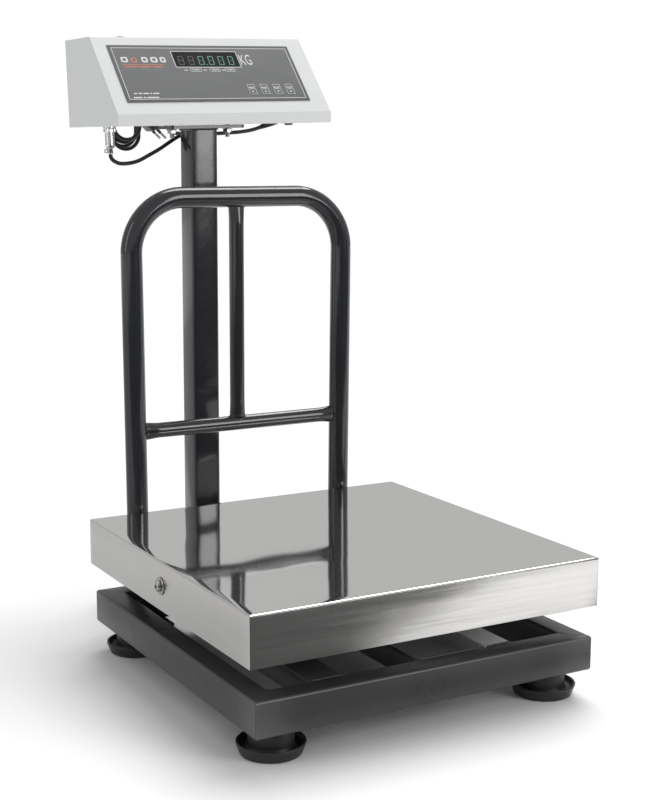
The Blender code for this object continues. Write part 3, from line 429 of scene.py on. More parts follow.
def surface(
    name, colour, roughness, metallic=0.0, spread=0.08, tint=0.06, cloud=18.0, grain=900.0,
    grain_depth=0.00002, wave=40.0, wave_depth=0.0, stretch=(1.0, 1.0, 1.0), coat=0.0, worn=None, dust=0.0,
    glow=0.0,
):
    """A finish whose colour, gloss and relief vary over the surface; an edge colour, if given, lightens
    sharp edges as rubbed wear and partly as a painted highlight.
    """
    material = bpy.data.materials.new(name)
    material.use_nodes = True
    tree = material.node_tree
    link = tree.links.new
    shader = tree.nodes["Principled BSDF"]
    shader.inputs["Metallic"].default_value = metallic
    shader.inputs["Coat Weight"].default_value = coat
    shader.inputs["Coat Roughness"].default_value = 0.06

    place = add_node(tree, "ShaderNodeTexCoord")
    scaled = add_node(tree, "ShaderNodeVectorMath", {1: stretch}, operation="MULTIPLY")
    link(place.outputs["Object"], scaled.inputs[0])
    patches = add_node(tree, "ShaderNodeTexNoise", {"Scale": cloud, "Detail": 5.0, "Roughness": 0.6})
    fine = add_node(tree, "ShaderNodeTexNoise", {"Scale": grain, "Detail": 3.0, "Roughness": 0.55})
    slow = add_node(tree, "ShaderNodeTexNoise", {"Scale": wave, "Detail": 1.5, "Roughness": 0.4})
    link(scaled.outputs[0], patches.inputs["Vector"])
    link(scaled.outputs[0], fine.inputs["Vector"])
    link(place.outputs["Object"], slow.inputs["Vector"])

    dark = tuple(channel * (1 - tint) for channel in colour)
    light = tuple(min(1.0, channel * (1 + tint)) for channel in colour)
    shade = add_node(tree, "ShaderNodeMix", {6: (*dark, 1.0), 7: (*light, 1.0)}, data_type="RGBA")
    link(patches.outputs["Fac"], shade.inputs[0])
    base = shade.outputs[2]
    # Sharp edges found by pointiness get a lighter colour: partly rubbed wear, partly a painted highlight
    # along the edges.
    if worn:
        geometry = add_node(tree, "ShaderNodeNewGeometry")
        ridge = add_node(tree, "ShaderNodeMapRange", {1: 0.54, 2: 0.62, 3: 0.0, 4: 0.55})
        link(geometry.outputs["Pointiness"], ridge.inputs[0])
        broken = add_node(tree, "ShaderNodeMath", operation="MULTIPLY")
        link(ridge.outputs[0], broken.inputs[0])
        link(patches.outputs["Fac"], broken.inputs[1])
        wear_and_highlight_mix = add_node(tree, "ShaderNodeMix", {7: (*worn, 1.0)}, data_type="RGBA")
        link(broken.outputs[0], wear_and_highlight_mix.inputs[0])
        link(base, wear_and_highlight_mix.inputs[6])
        base = wear_and_highlight_mix.outputs[2]
    if dust:
        geometry = add_node(tree, "ShaderNodeNewGeometry")
        axes = add_node(tree, "ShaderNodeSeparateXYZ")
        link(geometry.outputs["Normal"], axes.inputs[0])
        upward = add_node(tree, "ShaderNodeMapRange", {1: 0.5, 2: 1.0, 3: 0.0, 4: dust})
        link(axes.outputs["Z"], upward.inputs[0])
        spotty = add_node(tree, "ShaderNodeMath", operation="MULTIPLY")
        link(upward.outputs[0], spotty.inputs[0])
        link(fine.outputs["Fac"], spotty.inputs[1])
        dusty = add_node(tree, "ShaderNodeMix", {7: (0.42, 0.41, 0.39, 1.0)}, data_type="RGBA")
        link(spotty.outputs[0], dusty.inputs[0])
        link(base, dusty.inputs[6])
        base = dusty.outputs[2]
    link(base, shader.inputs["Base Color"])
    if glow:
        link(base, shader.inputs["Emission Color"])
        shader.inputs["Emission Strength"].default_value = glow

    low, high = max(0.02, roughness - spread), min(1.0, roughness + spread)
    gloss = add_node(tree, "ShaderNodeMapRange", {1: 0.3, 2: 0.7, 3: low, 4: high})
    mixed = add_node(tree, "ShaderNodeMath", {1: 0.5}, operation="MULTIPLY_ADD")
    half = add_node(tree, "ShaderNodeMath", {1: 0.5}, operation="MULTIPLY")
    link(fine.outputs["Fac"], half.inputs[0])
    link(patches.outputs["Fac"], mixed.inputs[0])
    link(half.outputs[0], mixed.inputs[2])
    link(mixed.outputs[0], gloss.inputs[0])
    link(gloss.outputs[0], shader.inputs["Roughness"])

    relief = add_node(tree, "ShaderNodeBump", {"Strength": 1.0, "Distance": grain_depth})
    link(fine.outputs["Fac"], relief.inputs["Height"])
    if wave_depth:
        swell = add_node(tree, "ShaderNodeBump", {"Strength": 1.0, "Distance": wave_depth})
        link(slow.outputs["Fac"], swell.inputs["Height"])
        link(swell.outputs["Normal"], relief.inputs["Normal"])
    link(relief.outputs["Normal"], shader.inputs["Normal"])
    return material


FINISHES = {}


def add_finish(name, slot, colour, roughness, **look):
    """Keeps a finish under its name, with the material slot of the CAD part that it belongs to."""
    FINISHES[name] = (surface(name, colour, roughness, **look), slot)


add_finish(
    "powder", "white_powder", (0.62, 0.63, 0.635), 0.42, spread=0.06, tint=0.02, grain=1500.0,
    grain_depth=0.00003, wave=22.0, wave_depth=0.0004,
)
# The enamels' lighter edge colours are partly rubbed wear and partly a painted highlight along edges.
add_finish(
    "enamel", "black_paint", (0.017, 0.018, 0.021), 0.15, spread=0.06, tint=0.18, grain=420.0,
    grain_depth=0.00004, wave=48.0, wave_depth=0.00015, coat=0.35, worn=(0.10, 0.10, 0.105), dust=0.03,
)
add_finish(
    "base_enamel", "grey_paint", (0.040, 0.0405, 0.042), 0.32, spread=0.08, tint=0.12, grain=620.0,
    grain_depth=0.00003, wave=30.0, wave_depth=0.0005, worn=(0.20, 0.20, 0.20), dust=0.05,
)
add_finish(
    "mirror", "stainless", (0.88, 0.87, 0.855), 0.055, metallic=1.0, spread=0.02, tint=0.02, cloud=9.0,
    grain=500.0, grain_depth=0.0000015, wave=9.0, wave_depth=0.0006,
)
add_finish(
    "brushed", "stainless", (0.72, 0.71, 0.695), 0.21, metallic=1.0, spread=0.07, tint=0.10, cloud=14.0,
    grain=60.0, grain_depth=0.000012, wave=16.0, wave_depth=0.0005, stretch=(0.18, 0.18, 6.0),
)
# The right rail's pale bare metal, its colour raised near white as painted light for the bright lit look it
# has in the pan's shade.
add_finish(
    "bare_with_painted_light", "pale_metal", (0.86, 0.86, 0.85), 0.45, metallic=0.15, spread=0.12, tint=0.10, cloud=26.0,
    grain=120.0, grain_depth=0.00002, stretch=(4.0, 0.3, 4.0),
)
add_finish("zinc", "zinc", (0.50, 0.49, 0.46), 0.30, metallic=1.0, spread=0.12, tint=0.14, cloud=160.0)
add_finish("chrome", "chrome", (0.72, 0.72, 0.72), 0.10, metallic=1.0, spread=0.05, tint=0.05, cloud=120.0)
add_finish(
    "aluminium", "aluminium", (0.60, 0.61, 0.62), 0.34, metallic=1.0, spread=0.1, stretch=(0.2, 5.0, 5.0),
)
add_finish(
    "rubber", "black_rubber", (0.013, 0.013, 0.014), 0.44, spread=0.14, tint=0.25, cloud=60.0, grain=1100.0,
    grain_depth=0.00004, wave=120.0, wave_depth=0.00012, dust=0.05,
)
add_finish(
    "plastic", "black_plastic", (0.016, 0.016, 0.018), 0.38, spread=0.1, tint=0.15, grain_depth=0.00003,
)
add_finish(
    "vinyl", "cord_plastic", (0.010, 0.010, 0.011), 0.36, spread=0.12, tint=0.2, cloud=90.0,
    grain_depth=0.00004,
)
add_finish(
    "film", "grey_film", (0.060, 0.063, 0.066), 0.36, spread=0.05, tint=0.04, grain=1800.0,
    grain_depth=0.00001, wave=30.0, wave_depth=0.0002,
)
add_finish("film_edge", "grey_film", (0.026, 0.027, 0.029), 0.36, spread=0.05, tint=0.04, grain=1800.0)
add_finish("print", "grey_film", (0.60, 0.61, 0.61), 0.45, tint=0.06, cloud=400.0)
add_finish("orange_print", "grey_film", (0.48, 0.12, 0.055), 0.45, tint=0.08, cloud=400.0)
add_finish(
    "acrylic", "smoked_window", (0.008, 0.009, 0.009), 0.07, spread=0.03, tint=0.1, grain_depth=0.000004,
)
add_finish("lit", "smoked_window", (0.045, 0.240, 0.150), 0.40, tint=0.12, cloud=600.0, glow=0.12)
add_finish("unlit", "smoked_window", (0.020, 0.018, 0.018), 0.40, tint=0.1, cloud=600.0)
add_finish("board", "circuit_board", (0.020, 0.120, 0.055), 0.35, tint=0.2, cloud=220.0)
add_finish(
    "winding", "copper_winding", (0.24, 0.16, 0.07), 0.40, metallic=0.4, tint=0.2, stretch=(1, 1, 14),
)


def add_piece(name, mesh_data, finish, body="base", smooth=None, bevel=None, stands_for=()):
    """Makes a shown piece of a bmesh in the row frame. A piece with no finish is a hidden cutter."""
    bmesh.ops.recalc_face_normals(mesh_data, faces=mesh_data.faces)
    mesh = bpy.data.meshes.new(name)
    mesh_data.to_mesh(mesh)
    mesh_data.free()
    if smooth is not None:
        mesh.shade_smooth()
        mesh.set_sharp_from_angle(angle=math.radians(smooth))
    piece = bpy.data.objects.new(name, mesh)
    bpy.context.scene.collection.objects.link(piece)
    if bevel:
        rounding = piece.modifiers.new("rounding", "BEVEL")
        rounding.width = bevel
        rounding.segments = 3
        rounding.limit_method = "ANGLE"
        rounding.angle_limit = math.radians(28)
        rounding.harden_normals = True
    if finish is None:
        piece.hide_render = True
        piece.hide_viewport = True
        return piece
    material, slot = FINISHES[finish]
    mesh.materials.append(material)
    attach(piece, body)
    if stands_for:
        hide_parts(*stands_for)
    return piece


def cut(piece, *tools):
    for tool in tools:
        change = piece.modifiers.new("cut", "BOOLEAN")
        change.operation = "DIFFERENCE"
        change.solver = "EXACT"
        change.object = tool


def drill(name, start, direction, radius, length, count=32):
    profile = ((0.0, 0.0), (radius, 0.0), (radius, length), (0.0, length))
    return add_piece(name, moved(turned(profile, count), aimed(start, direction)), None)


def leaning(build):
    """Runs a builder and leans all that it made."""
    already = set(bpy.data.objects)
    made = build()
    for piece in set(bpy.data.objects) - already:
        piece.data.transform(LEAN)
    return made


# ---------------------------------------------------------------- camera, light and floor
def build_camera():
    camera = bpy.data.objects.new("camera", bpy.data.cameras.new("camera"))
    camera.data.sensor_width = 36.0
    camera.data.lens = CAMERA_LENS
    camera.data.clip_start = 0.05
    level = math.cos(CAMERA_PITCH)
    forward = Vector((math.sin(CAMERA_YAW) * level, math.cos(CAMERA_YAW) * level, -math.sin(CAMERA_PITCH)))
    roll = Matrix.Rotation(CAMERA_ROLL, 4, "Z").to_quaternion()
    camera.rotation_mode = "QUATERNION"
    camera.rotation_quaternion = forward.to_track_quat("-Z", "Y") @ roll
    camera.location = CAMERA_PLACE
    bpy.context.scene.collection.objects.link(camera)
    bpy.context.scene.camera = camera


def add_softbox(name, place, target, size, radiance):
    light = bpy.data.lights.new(name, "AREA")
    light.shape = "RECTANGLE"
    light.size, light.size_y = size
    light.energy = radiance * math.pi * size[0] * size[1]
    lamp = bpy.data.objects.new(name, light)
    lamp.location = place
    lamp.rotation_mode = "QUATERNION"
    lamp.rotation_quaternion = (Vector(target) - Vector(place)).to_track_quat("-Z", "Y")
    bpy.context.scene.collection.objects.link(lamp)


def add_card(name, corners, shade):
    """A dark card that only polished metal sees, as a studio hides one from the camera."""
    mesh = bpy.data.meshes.new(name)
    mesh.from_pydata(corners, [], [tuple(range(len(corners)))])
    material = bpy.data.materials.new(name)
    material.use_nodes = True
    shader = material.node_tree.nodes["Principled BSDF"]
    shader.inputs["Base Color"].default_value = (shade, shade, shade, 1.0)
    shader.inputs["Roughness"].default_value = 1.0
    shader.inputs["Specular IOR Level"].default_value = 0.0
    mesh.materials.append(material)
    card = bpy.data.objects.new(name, mesh)
    card.visible_camera = False
    card.visible_diffuse = False
    card.visible_shadow = False
    bpy.context.scene.collection.objects.link(card)


def build_world():
    """A white background for the camera, and a dimmer one for all that it lights."""
    world = bpy.data.worlds.new("studio")
    world.use_nodes = True
    tree = world.node_tree
    backdrop = tree.nodes["Background"]
    backdrop.inputs["Color"].default_value = (1.0, 1.0, 1.0, 1.0)
    backdrop.inputs["Strength"].default_value = BACKDROP
    fill = add_node(tree, "ShaderNodeBackground", {"Color": (1.0, 1.0, 1.0, 1.0), "Strength": FILL})
    seen = add_node(tree, "ShaderNodeLightPath")
    either = add_node(tree, "ShaderNodeMixShader")
    tree.links.new(seen.outputs["Is Camera Ray"], either.inputs[0])
    tree.links.new(fill.outputs[0], either.inputs[1])
    tree.links.new(backdrop.outputs[0], either.inputs[2])
    tree.links.new(either.outputs[0], tree.nodes["World Output"].inputs["Surface"])
    bpy.context.scene.world = world


def build_floor():
    mesh = bpy.data.meshes.new("floor")
    corners = [(x, y, 0) for x, y in rectangle(2 * FLOOR_HALF, 2 * FLOOR_HALF)]
    mesh.from_pydata(corners, [], [(0, 1, 2, 3)])
    material = bpy.data.materials.new("floor")
    material.use_nodes = True
    shader = material.node_tree.nodes["Principled BSDF"]
    shader.inputs["Base Color"].default_value = (0.88, 0.88, 0.88, 1.0)
    shader.inputs["Roughness"].default_value = 0.75
    shader.inputs["Specular IOR Level"].default_value = 0.2
    mesh.materials.append(material)
    floor = bpy.data.objects.new("floor", mesh)
    bpy.context.scene.collection.objects.link(floor)


def build_lights():
    sun = bpy.data.lights.new("overhead", "SUN")
    sun.angle = math.radians(40.0)
    sun.energy = math.pi * OVERHEAD
    lamp = bpy.data.objects.new("overhead", sun)
    lamp.rotation_mode = "QUATERNION"
    lamp.rotation_quaternion = Vector(OVERHEAD_DIRECTION).to_track_quat("-Z", "Y")
    bpy.context.scene.collection.objects.link(lamp)
    add_softbox("softbox_right", (1.155, -2.28, 1.12), (0.0, 0.1, 0.55), (0.95, 1.40), 5.0)
    add_softbox("softbox_left", (-2.30, 0.10, 1.20), (0.0, 0.0, 0.35), (0.50, 1.60), 2.2)


def build_cards():
    """Dark cards for the base's front, the left half of the pan's front, and the column."""
    level = CARD_LEVEL
    near = [(-3.0, -0.36, level), (6.0, -0.36, level), (6.0, -0.50, level), (-3.0, -0.50, level)]
    slanted = [(-3.0, -0.50, level), (0.024, -0.50, level), (0.332, -0.718, level), (-3.0, -0.718, level)]
    beyond = [(-3.0, -0.718, level), (0.332, -0.718, level), (0.600, -1.10, level), (-3.0, -1.10, level)]
    far = [(-3.0, -1.10, level), (6.0, -1.10, level), (6.0, -4.0, level), (-3.0, -4.0, level)]
    low = [(-3.0, -4.0, 0.0), (6.0, -4.0, 0.0), (6.0, -4.0, 0.41), (-3.0, -4.0, 0.41)]
    raised = [(-1.0, -0.42, 0.155), (1.2, -0.42, 0.155), (1.2, -0.42, 0.31), (-1.0, -0.42, 0.31)]
    for name, corners in zip("abcdef", (near, slanted, beyond, far, low, raised)):
        add_card(f"dark_card_{name}", corners, CARD_SHADE)
    side = [(-3.0, -0.30, level), (-0.24, -0.30, level), (-0.24, 3.0, level), (-3.0, 3.0, level)]
    add_card("grey_card", side, GREY_CARD_SHADE)


# ---------------------------------------------------------------- cords
def add_cord(name, points, finish):
    curve = bpy.data.curves.new(name, "CURVE")
    curve.dimensions = "3D"
    curve.bevel_depth = CORD_DIAMETER / 2
    curve.bevel_resolution = 6
    curve.use_fill_caps = True
    spline = curve.splines.new("POLY")
    spline.points.add(len(points) - 1)
    for knot, point in zip(spline.points, points):
        knot.co = (*point, 1.0)
    cord = bpy.data.objects.new(name, curve)
    bpy.context.scene.collection.objects.link(cord)
    material, slot = FINISHES[finish]
    curve.materials.append(material)
    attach(cord, "base")
    return cord


def hank_route():
    """Turns behind the indicator, each down its left side and up its right, then a crossing to the plug."""

    def arc(first, last, middle_z, depth, shift=0.0):
        steps = range(first, last + 1, 30)
        for turn in steps:
            angle = math.radians(turn)
            share = (turn - first) / (last - first)
            x = HANK_X + HANK_HALF * math.cos(angle)
            route.append((x, depth + shift * share, middle_z + HANK_HALF * math.sin(angle)))

    route = []
    left, right = HANK_X - HANK_HALF, HANK_X + HANK_HALF
    for number, bottom in enumerate(HANK_BOTTOMS):
        depth = HANK_DEPTH + number * HANK_STEP
        top, next_top = HANK_TOPS[number : number + 2]
        lean = HANK_LEAN * (-1) ** number
        arc(90, 180, top - HANK_HALF, depth)
        route.append((left - lean, depth, (top * 2 + bottom) / 3))
        route.append((left + lean, depth, (top + bottom * 2) / 3))
        arc(180, 360, bottom + HANK_HALF, depth)
        route.append((right - lean, depth, (next_top + bottom * 2) / 3))
        route.append((right + lean, depth, (next_top * 2 + bottom) / 3))
        arc(0, 60, next_top - HANK_HALF, depth + HANK_STEP * 0.25, HANK_STEP * 0.5)
    arc(90, 180, HANK_TOPS[-1] - HANK_HALF, depth + HANK_STEP)
    neck = Vector(PLUG_ROOT) - PLUG_NECK * Vector(PLUG_AXIS)
    route.append((left, PLUG_ROOT[1] - 0.0006, 0.658))
    route.append((left + 0.0022, PLUG_ROOT[1] - 0.0003, 0.645))
    route.append((left + 0.0100, PLUG_ROOT[1], 0.632))
    route.append(tuple(neck - 0.012 * Vector(PLUG_AXIS)))
    route.append(tuple(neck))
    return route


def build_cords():
    signal = add_cord("signal_lead", smooth_route(SIGNAL_ROUTE, CORD_STEP), "vinyl")
    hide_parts("signal_cable")
    plug_pieces = leaning(build_plug)
    tie = leaning(build_tie)
    route = [LEAN @ Vector(point) for point in (*MAINS_ROUTE[:-1], *hank_route())]
    mains = add_cord("mains_lead", smooth_route(route, CORD_STEP), "vinyl")
    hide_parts("mains_cord", "mains_hank")


def build_plug():
    """A flat two-pin plug; its local Z runs along the pins."""
    lean = Matrix.Rotation(math.atan2(PLUG_AXIS[0], PLUG_AXIS[2]), 4, "Y")
    place = Matrix.Translation(PLUG_ROOT) @ lean
    body = bmesh.new()
    levels = (
        (-0.0240, 0.0080, 0.0130), (-0.0232, 0.0098, 0.0158), (-0.0205, 0.0114, 0.0205),
        (-0.0150, 0.0124, 0.0262), (-0.0080, 0.0129, 0.0292), (-0.0020, 0.0130, 0.0300),
        (-0.0005, 0.0127, 0.0297), (0.0000, 0.0118, 0.0288),
    )
    rings = []
    for height, thick, wide in levels:
        outline = rounded_rectangle(thick, wide, thick * 0.42, 6)
        rings.append([body.verts.new((u, v, height)) for u, v in outline])
    for ring_a, ring_b in zip(rings, rings[1:]):
        bridge(body, ring_a, ring_b)
    body.faces.new(rings[0])
    body.faces.new(rings[-1])
    ridges = []
    for height in (-0.0175, -0.0148, -0.0121):
        for side in (-1, 1):
            low = (side * 0.0060 - 0.0006, -0.0065, height)
            high = (side * 0.0060 + 0.0004, 0.0065, height + 0.0012)
            ridges.append(block(low, high))
    shell = add_piece("plug_body", moved(gather(body, *ridges), place), "plastic", smooth=40)
    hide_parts("mains_plug")

    relief = [(0.0, -0.0320)]
    for number in range(5):
        low = -0.0320 + number * 0.0017
        relief += [(0.0029 + 0.0001 * number, low), (0.0029 + 0.0001 * number, low + 0.0009)]
        relief += [(0.0025 + 0.0001 * number, low + 0.0011), (0.0025 + 0.0001 * number, low + 0.0015)]
    relief += [(0.0036, -0.0232), (0.0, -0.0232)]
    neck = add_piece("plug_relief", moved(turned(relief, 32), place), "plastic", smooth=50)

    pins, sleeves = [], []
    for side in (-1, 1):
        sleeve = ((0.0, -0.001), (0.0019, -0.001), (0.0019, 0.0085), (0.0, 0.0085))
        tip = (
            (0.0, 0.0080), (0.0020, 0.0080), (0.0020, 0.0178), (0.0016, 0.0186), (0.0008, 0.0190),
            (0.0, 0.0190),
        )
        at = Matrix.Translation((0.0, side * 0.0093, 0.0))
        shape = moved(turned(sleeve, 24), place @ at)
        sleeves.append(add_piece(f"pin_sleeve_{side + 1}", shape, "plastic", smooth=40))
        pins.append(moved(turned(tip, 24), place @ at))
    metal = add_piece("plug_pins", gather(*pins), "chrome", smooth=40)
    return [shell, neck, metal, *sleeves]


def build_tie():
    """A nylon tie round the hank, through the base stuck to the indicator's back."""
    middle_y = 0.3203
    outer = rounded_rectangle(0.0418, 0.0264, 0.0070, 8)
    inner = rounded_rectangle(0.0398, 0.0244, 0.0060, 8)
    strap = plate(outer, [inner], TIE_Z - 0.0019, TIE_Z + 0.0019)
    head = block((-0.0034, 0.0122, TIE_Z - 0.0030), (0.0034, 0.0133, TIE_Z + 0.0030))
    tail = block((-0.0012, 0.0126, TIE_Z - 0.0090), (0.0012, 0.0132, TIE_Z))
    place = Matrix.Translation((HANK_X, middle_y, 0.0))
    return add_piece(
        "tie_strap", moved(gather(strap, head, tail), place), "plastic", bevel=0.0002,
        stands_for=("hank_tie",),
    )


# ---------------------------------------------------------------- base
def build_base_frame():
    half_x = (BASE_WIDTH - BASE_TUBE) / 2
    half_y = (BASE_LENGTH - BASE_TUBE) / 2
    height = BASE_TOP - BASE_BOTTOM
    middle = (BASE_TOP + BASE_BOTTOM) / 2
    slack = GAP * 0.4
    for name, sign in (("front", -1), ("rear", 1)):
        y = PAN_Y + sign * half_y
        path = straight((-half_x + slack, y, middle), (half_x - slack, y, middle), 12)
        shape = box_tube(path, BASE_TUBE, height, TUBE_WALL, ends=((1, sign, 0), (1, -sign, 0)))
        skin = add_piece(
            f"{name}_tube_skin", shape, "base_enamel", smooth=40, stands_for=(f"base_{name}_tube",),
        )
        if name == "rear":
            cut(skin, drill("base_cable_drill", (-0.018, y - BASE_TUBE, 0.046), (0, 1, 0), 0.006, 0.052))
        for side in (-1, 1):
            outer = BASE_WIDTH / 2 - BASE_TUBE - GAP
            near = BASE_LENGTH / 2 - BASE_TUBE
            centre = (side * (outer - 0.020), PAN_Y + sign * (near - 0.020))
            hole = circle(STUD_HOLE, 24, (side * FOOT_X, PAN_Y + sign * FOOT_Y))
            gusset = plate(
                rectangle(0.040, 0.040, centre), [hole], BASE_BOTTOM + 0.0002, BASE_BOTTOM + 0.0062,
            )
            add_piece(f"foot_plate_{name}_{side + 1}", gusset, "base_enamel", bevel=0.0004)
    for name, sign in (("left", -1), ("right", 1)):
        x = sign * half_x
        path = straight((x, PAN_Y - half_y + slack, middle), (x, PAN_Y + half_y - slack, middle), 12)
        shape = box_tube(path, BASE_TUBE, height, TUBE_WALL, ends=((sign, 1, 0), (-sign, 1, 0)))
        add_piece(f"{name}_tube_skin", shape, "base_enamel", smooth=40, stands_for=(f"base_{name}_tube",))
    seams = []
    for side in (-1, 1):
        for sign in (-1, 1):
            outer = Vector(
                (side * (BASE_WIDTH / 2 - 0.0008), PAN_Y + sign * (BASE_LENGTH / 2 - 0.0008), 0.0)
            )
            inner = Vector(
                (side * (BASE_WIDTH / 2 - BASE_TUBE), PAN_Y + sign * (BASE_LENGTH / 2 - BASE_TUBE), 0.0)
            )
            top = Vector((0, 0, BASE_TOP - 0.0006))
            seams.append(
                bead(straight(outer + top + (inner - outer) * 0.06, inner + top, 30), 0.0008, False)
            )
    add_piece("mitre_welds", gather(*seams), "base_enamel", smooth=60)
    reach = BASE_LENGTH / 2 - BASE_TUBE - GAP
    level = BASE_TOP - RAIL_HEIGHT / 2
    welds = []
    for name, (x, width) in RAILS.items():
        path = straight((x, PAN_Y - reach, level), (x, PAN_Y + reach, level), 10)
        shape = box_tube(path, width, RAIL_HEIGHT, TUBE_WALL)
        # The right rail's near-white finish is partly painted light.
        finish = "bare_with_painted_light" if name == "right" else "base_enamel"
        add_piece(f"{name}_rail_skin", shape, finish, smooth=40, stands_for=(f"base_{name}_rail",))
        for sign in (-1, 1):
            y = PAN_Y + sign * (reach + GAP / 2)
            ends = ((x - width * 0.42, y, BASE_TOP - 0.0004), (x + width * 0.42, y, BASE_TOP - 0.0004))
            welds.append(bead(straight(*ends, 40), 0.0011, False))
    add_piece("rail_welds", gather(*welds), "base_enamel", smooth=60)


def build_feet():
    profile = (
        (0.0, 0.0), (0.0285, 0.0), (0.0299, 0.0007), (0.0322, 0.0068), (0.0335, 0.0102), (0.0337, 0.0112),
        (0.0334, 0.0120), (0.0326, 0.0124), (0.0317, 0.0121), (0.0309, 0.0106), (0.0302, 0.0086),
        (0.0288, 0.0073), (0.0262, 0.0067), (0.0244, 0.0071), (0.0232, 0.0083), (0.0226, 0.0108),
        (0.0221, 0.0200), (0.0218, 0.0272), (0.0212, 0.0284), (0.0202, BASE_BOTTOM - GAP),
        (STUD_HOLE, BASE_BOTTOM - GAP), (STUD_HOLE, 0.0040), (0.0, 0.0040),
    )
    for end, sign in (("front", -1), ("rear", 1)):
        for side, x in (("left", -FOOT_X), ("right", FOOT_X)):
            place = Matrix.Translation((x, PAN_Y + sign * FOOT_Y, 0.0))
            add_piece(
                f"foot_rubber_{end}_{side}", moved(turned(profile, 72), place), "rubber",
                body=f"foot_{end}_{side}", smooth=50, stands_for=(f"foot_pad_{end}_{side}",),
            )


# ---------------------------------------------------------------- platform
def pan_ring(mesh_data, inset, height, corner):
    """A square ring of the pan at an inset, with rounded corners and points along its sides."""
    half = PAN_SIZE / 2 - inset
    points = []
    arc = [math.pi / 2 * step / PAN_CORNER_STEPS for step in range(PAN_CORNER_STEPS + 1)]
    for quarter in range(4):
        spin = Matrix.Rotation(quarter * math.pi / 2, 2)
        for angle in arc:
            local = Vector(
                (half - corner + corner * math.cos(angle), half - corner + corner * math.sin(angle))
            )
            points.append(spin @ local)
        for step in range(1, PAN_SIDE_STEPS):
            share = step / PAN_SIDE_STEPS
            local = Vector((half - corner - share * 2 * (half - corner), half))
            points.append(spin @ local)
    return [mesh_data.verts.new((p.x, PAN_Y + p.y, height)) for p in points]


def build_pan():
    shape = bmesh.new()
    low, top = PAN_TOP - PAN_DEPTH, PAN_TOP
    levels = [(SHEET, low + 0.0004), (SHEET * 0.7, low), (SHEET * 0.3, low), (0.0, low + 0.0004)]
    levels += [(0.0, low + 0.016), (0.0, low + 0.032), (0.0, top - PAN_BEND)]
    for step in range(1, 7):
        angle = math.pi / 2 * step / 6
        levels.append((PAN_BEND * (1 - math.cos(angle)), top - PAN_BEND * (1 - math.sin(angle))))
    rings = []
    for inset, height in levels:
        rings.append(pan_ring(shape, inset, height, max(0.0016 - inset * 0.5, 0.0006)))
    for ring_a, ring_b in zip(rings, rings[1:]):
        bridge(shape, ring_a, ring_b)
    inner_top = top - SHEET
    under = [pan_ring(shape, SHEET, inner_top - 0.0010, 0.0010)]
    under.append(pan_ring(shape, SHEET + 0.0010, inner_top, 0.0006))
    bridge(shape, rings[0], under[0])
    bridge(shape, under[0], under[1])
    shape.faces.new(under[1])
    centre_ring = rings[-1]
    for inset in (0.010, 0.030, 0.060, 0.090, 0.120, 0.150, 0.180):
        ring = pan_ring(shape, inset, top, 0.0006)
        for vertex in ring:
            sway = noise.noise(Vector((vertex.co.x * 7, vertex.co.y * 7, 3.1)))
            vertex.co.z -= 0.00008 * (1 + sway) * min(1.0, inset / 0.03)
        bridge(shape, centre_ring, ring)
        centre_ring = ring
    shape.faces.new(centre_ring)
    for face in shape.faces:
        face.material_index = 1 if face.calc_center_median().z < top - 0.0003 else 0
    pan = add_piece("pan_skin", shape, "mirror", body="platform", smooth=40, stands_for=("weighing_pan",))
    pan.data.materials.append(FINISHES["brushed"][0])
    cut(pan, drill("pan_drill", (-0.21, PAN_Y, PAN_SCREW_Z), (1, 0, 0), 0.0034, 0.42, 24))


def hex_recess(radius, across, depth, height, count=24):
    """The top of a screw head: a disc at a height with a hexagonal hole of a depth."""
    mesh_data = bmesh.new()
    outer, hexagon = [], []
    for index in range(count):
        angle = 2 * math.pi * (index + 0.5) / count
        outer.append((radius * math.cos(angle), radius * math.sin(angle)))
        within = (angle % (math.pi / 3)) - math.pi / 6
        reach = across / 2 / math.cos(within)
        hexagon.append((reach * math.cos(angle), reach * math.sin(angle)))
    rings = []
    for ring, level in ((outer, height), (hexagon, height), (hexagon, height - depth)):
        rings.append([mesh_data.verts.new((x, y, level)) for x, y in ring])
    bridge(mesh_data, rings[0], rings[1])
    bridge(mesh_data, rings[1], rings[2])
    mesh_data.faces.new(rings[2])
    return mesh_data


def build_pan_screws():
    washer = (
        (0.0032, 0.0000), (0.0089, 0.0000), (0.0094, 0.0004), (0.0094, 0.0009), (0.0089, 0.0013),
        (0.0060, 0.0014), (0.0032, 0.0014),
    )
    head = (
        (0.0054, 0.0015), (0.0057, 0.0018), (0.0058, 0.0030), (0.0056, 0.0042), (0.0051, 0.0049),
        (0.0044, 0.0052),
    )
    for name, sign in (("left", -1), ("right", 1)):
        place = Matrix.Translation((sign * (PAN_SIZE / 2 + 0.0002), PAN_Y, PAN_SCREW_Z))
        place = place @ Matrix.Rotation(sign * math.pi / 2, 4, "Y")
        disc = turned(washer, 48, closed=True)
        side = bmesh.new()
        rings = [[side.verts.new((x, y, h)) for x, y in circle(r, 24)] for r, h in head]
        for ring_a, ring_b in zip(rings, rings[1:]):
            bridge(side, ring_a, ring_b)
        side.faces.new(rings[0])
        top = hex_recess(0.0044, 0.0040, 0.0026, 0.0052)
        shank = turned(((0.0, 0.0016), (0.003, 0.0016), (0.003, -0.0164), (0.0, -0.0164)), 24)
        whole = gather(disc, side, top, shank)
        bmesh.ops.remove_doubles(whole, verts=whole.verts, dist=1e-6)
        add_piece(
            f"pan_bolt_{name}", moved(whole, place), "zinc", "platform", smooth=35,
            stands_for=(f"pan_screw_{name}",),
        )


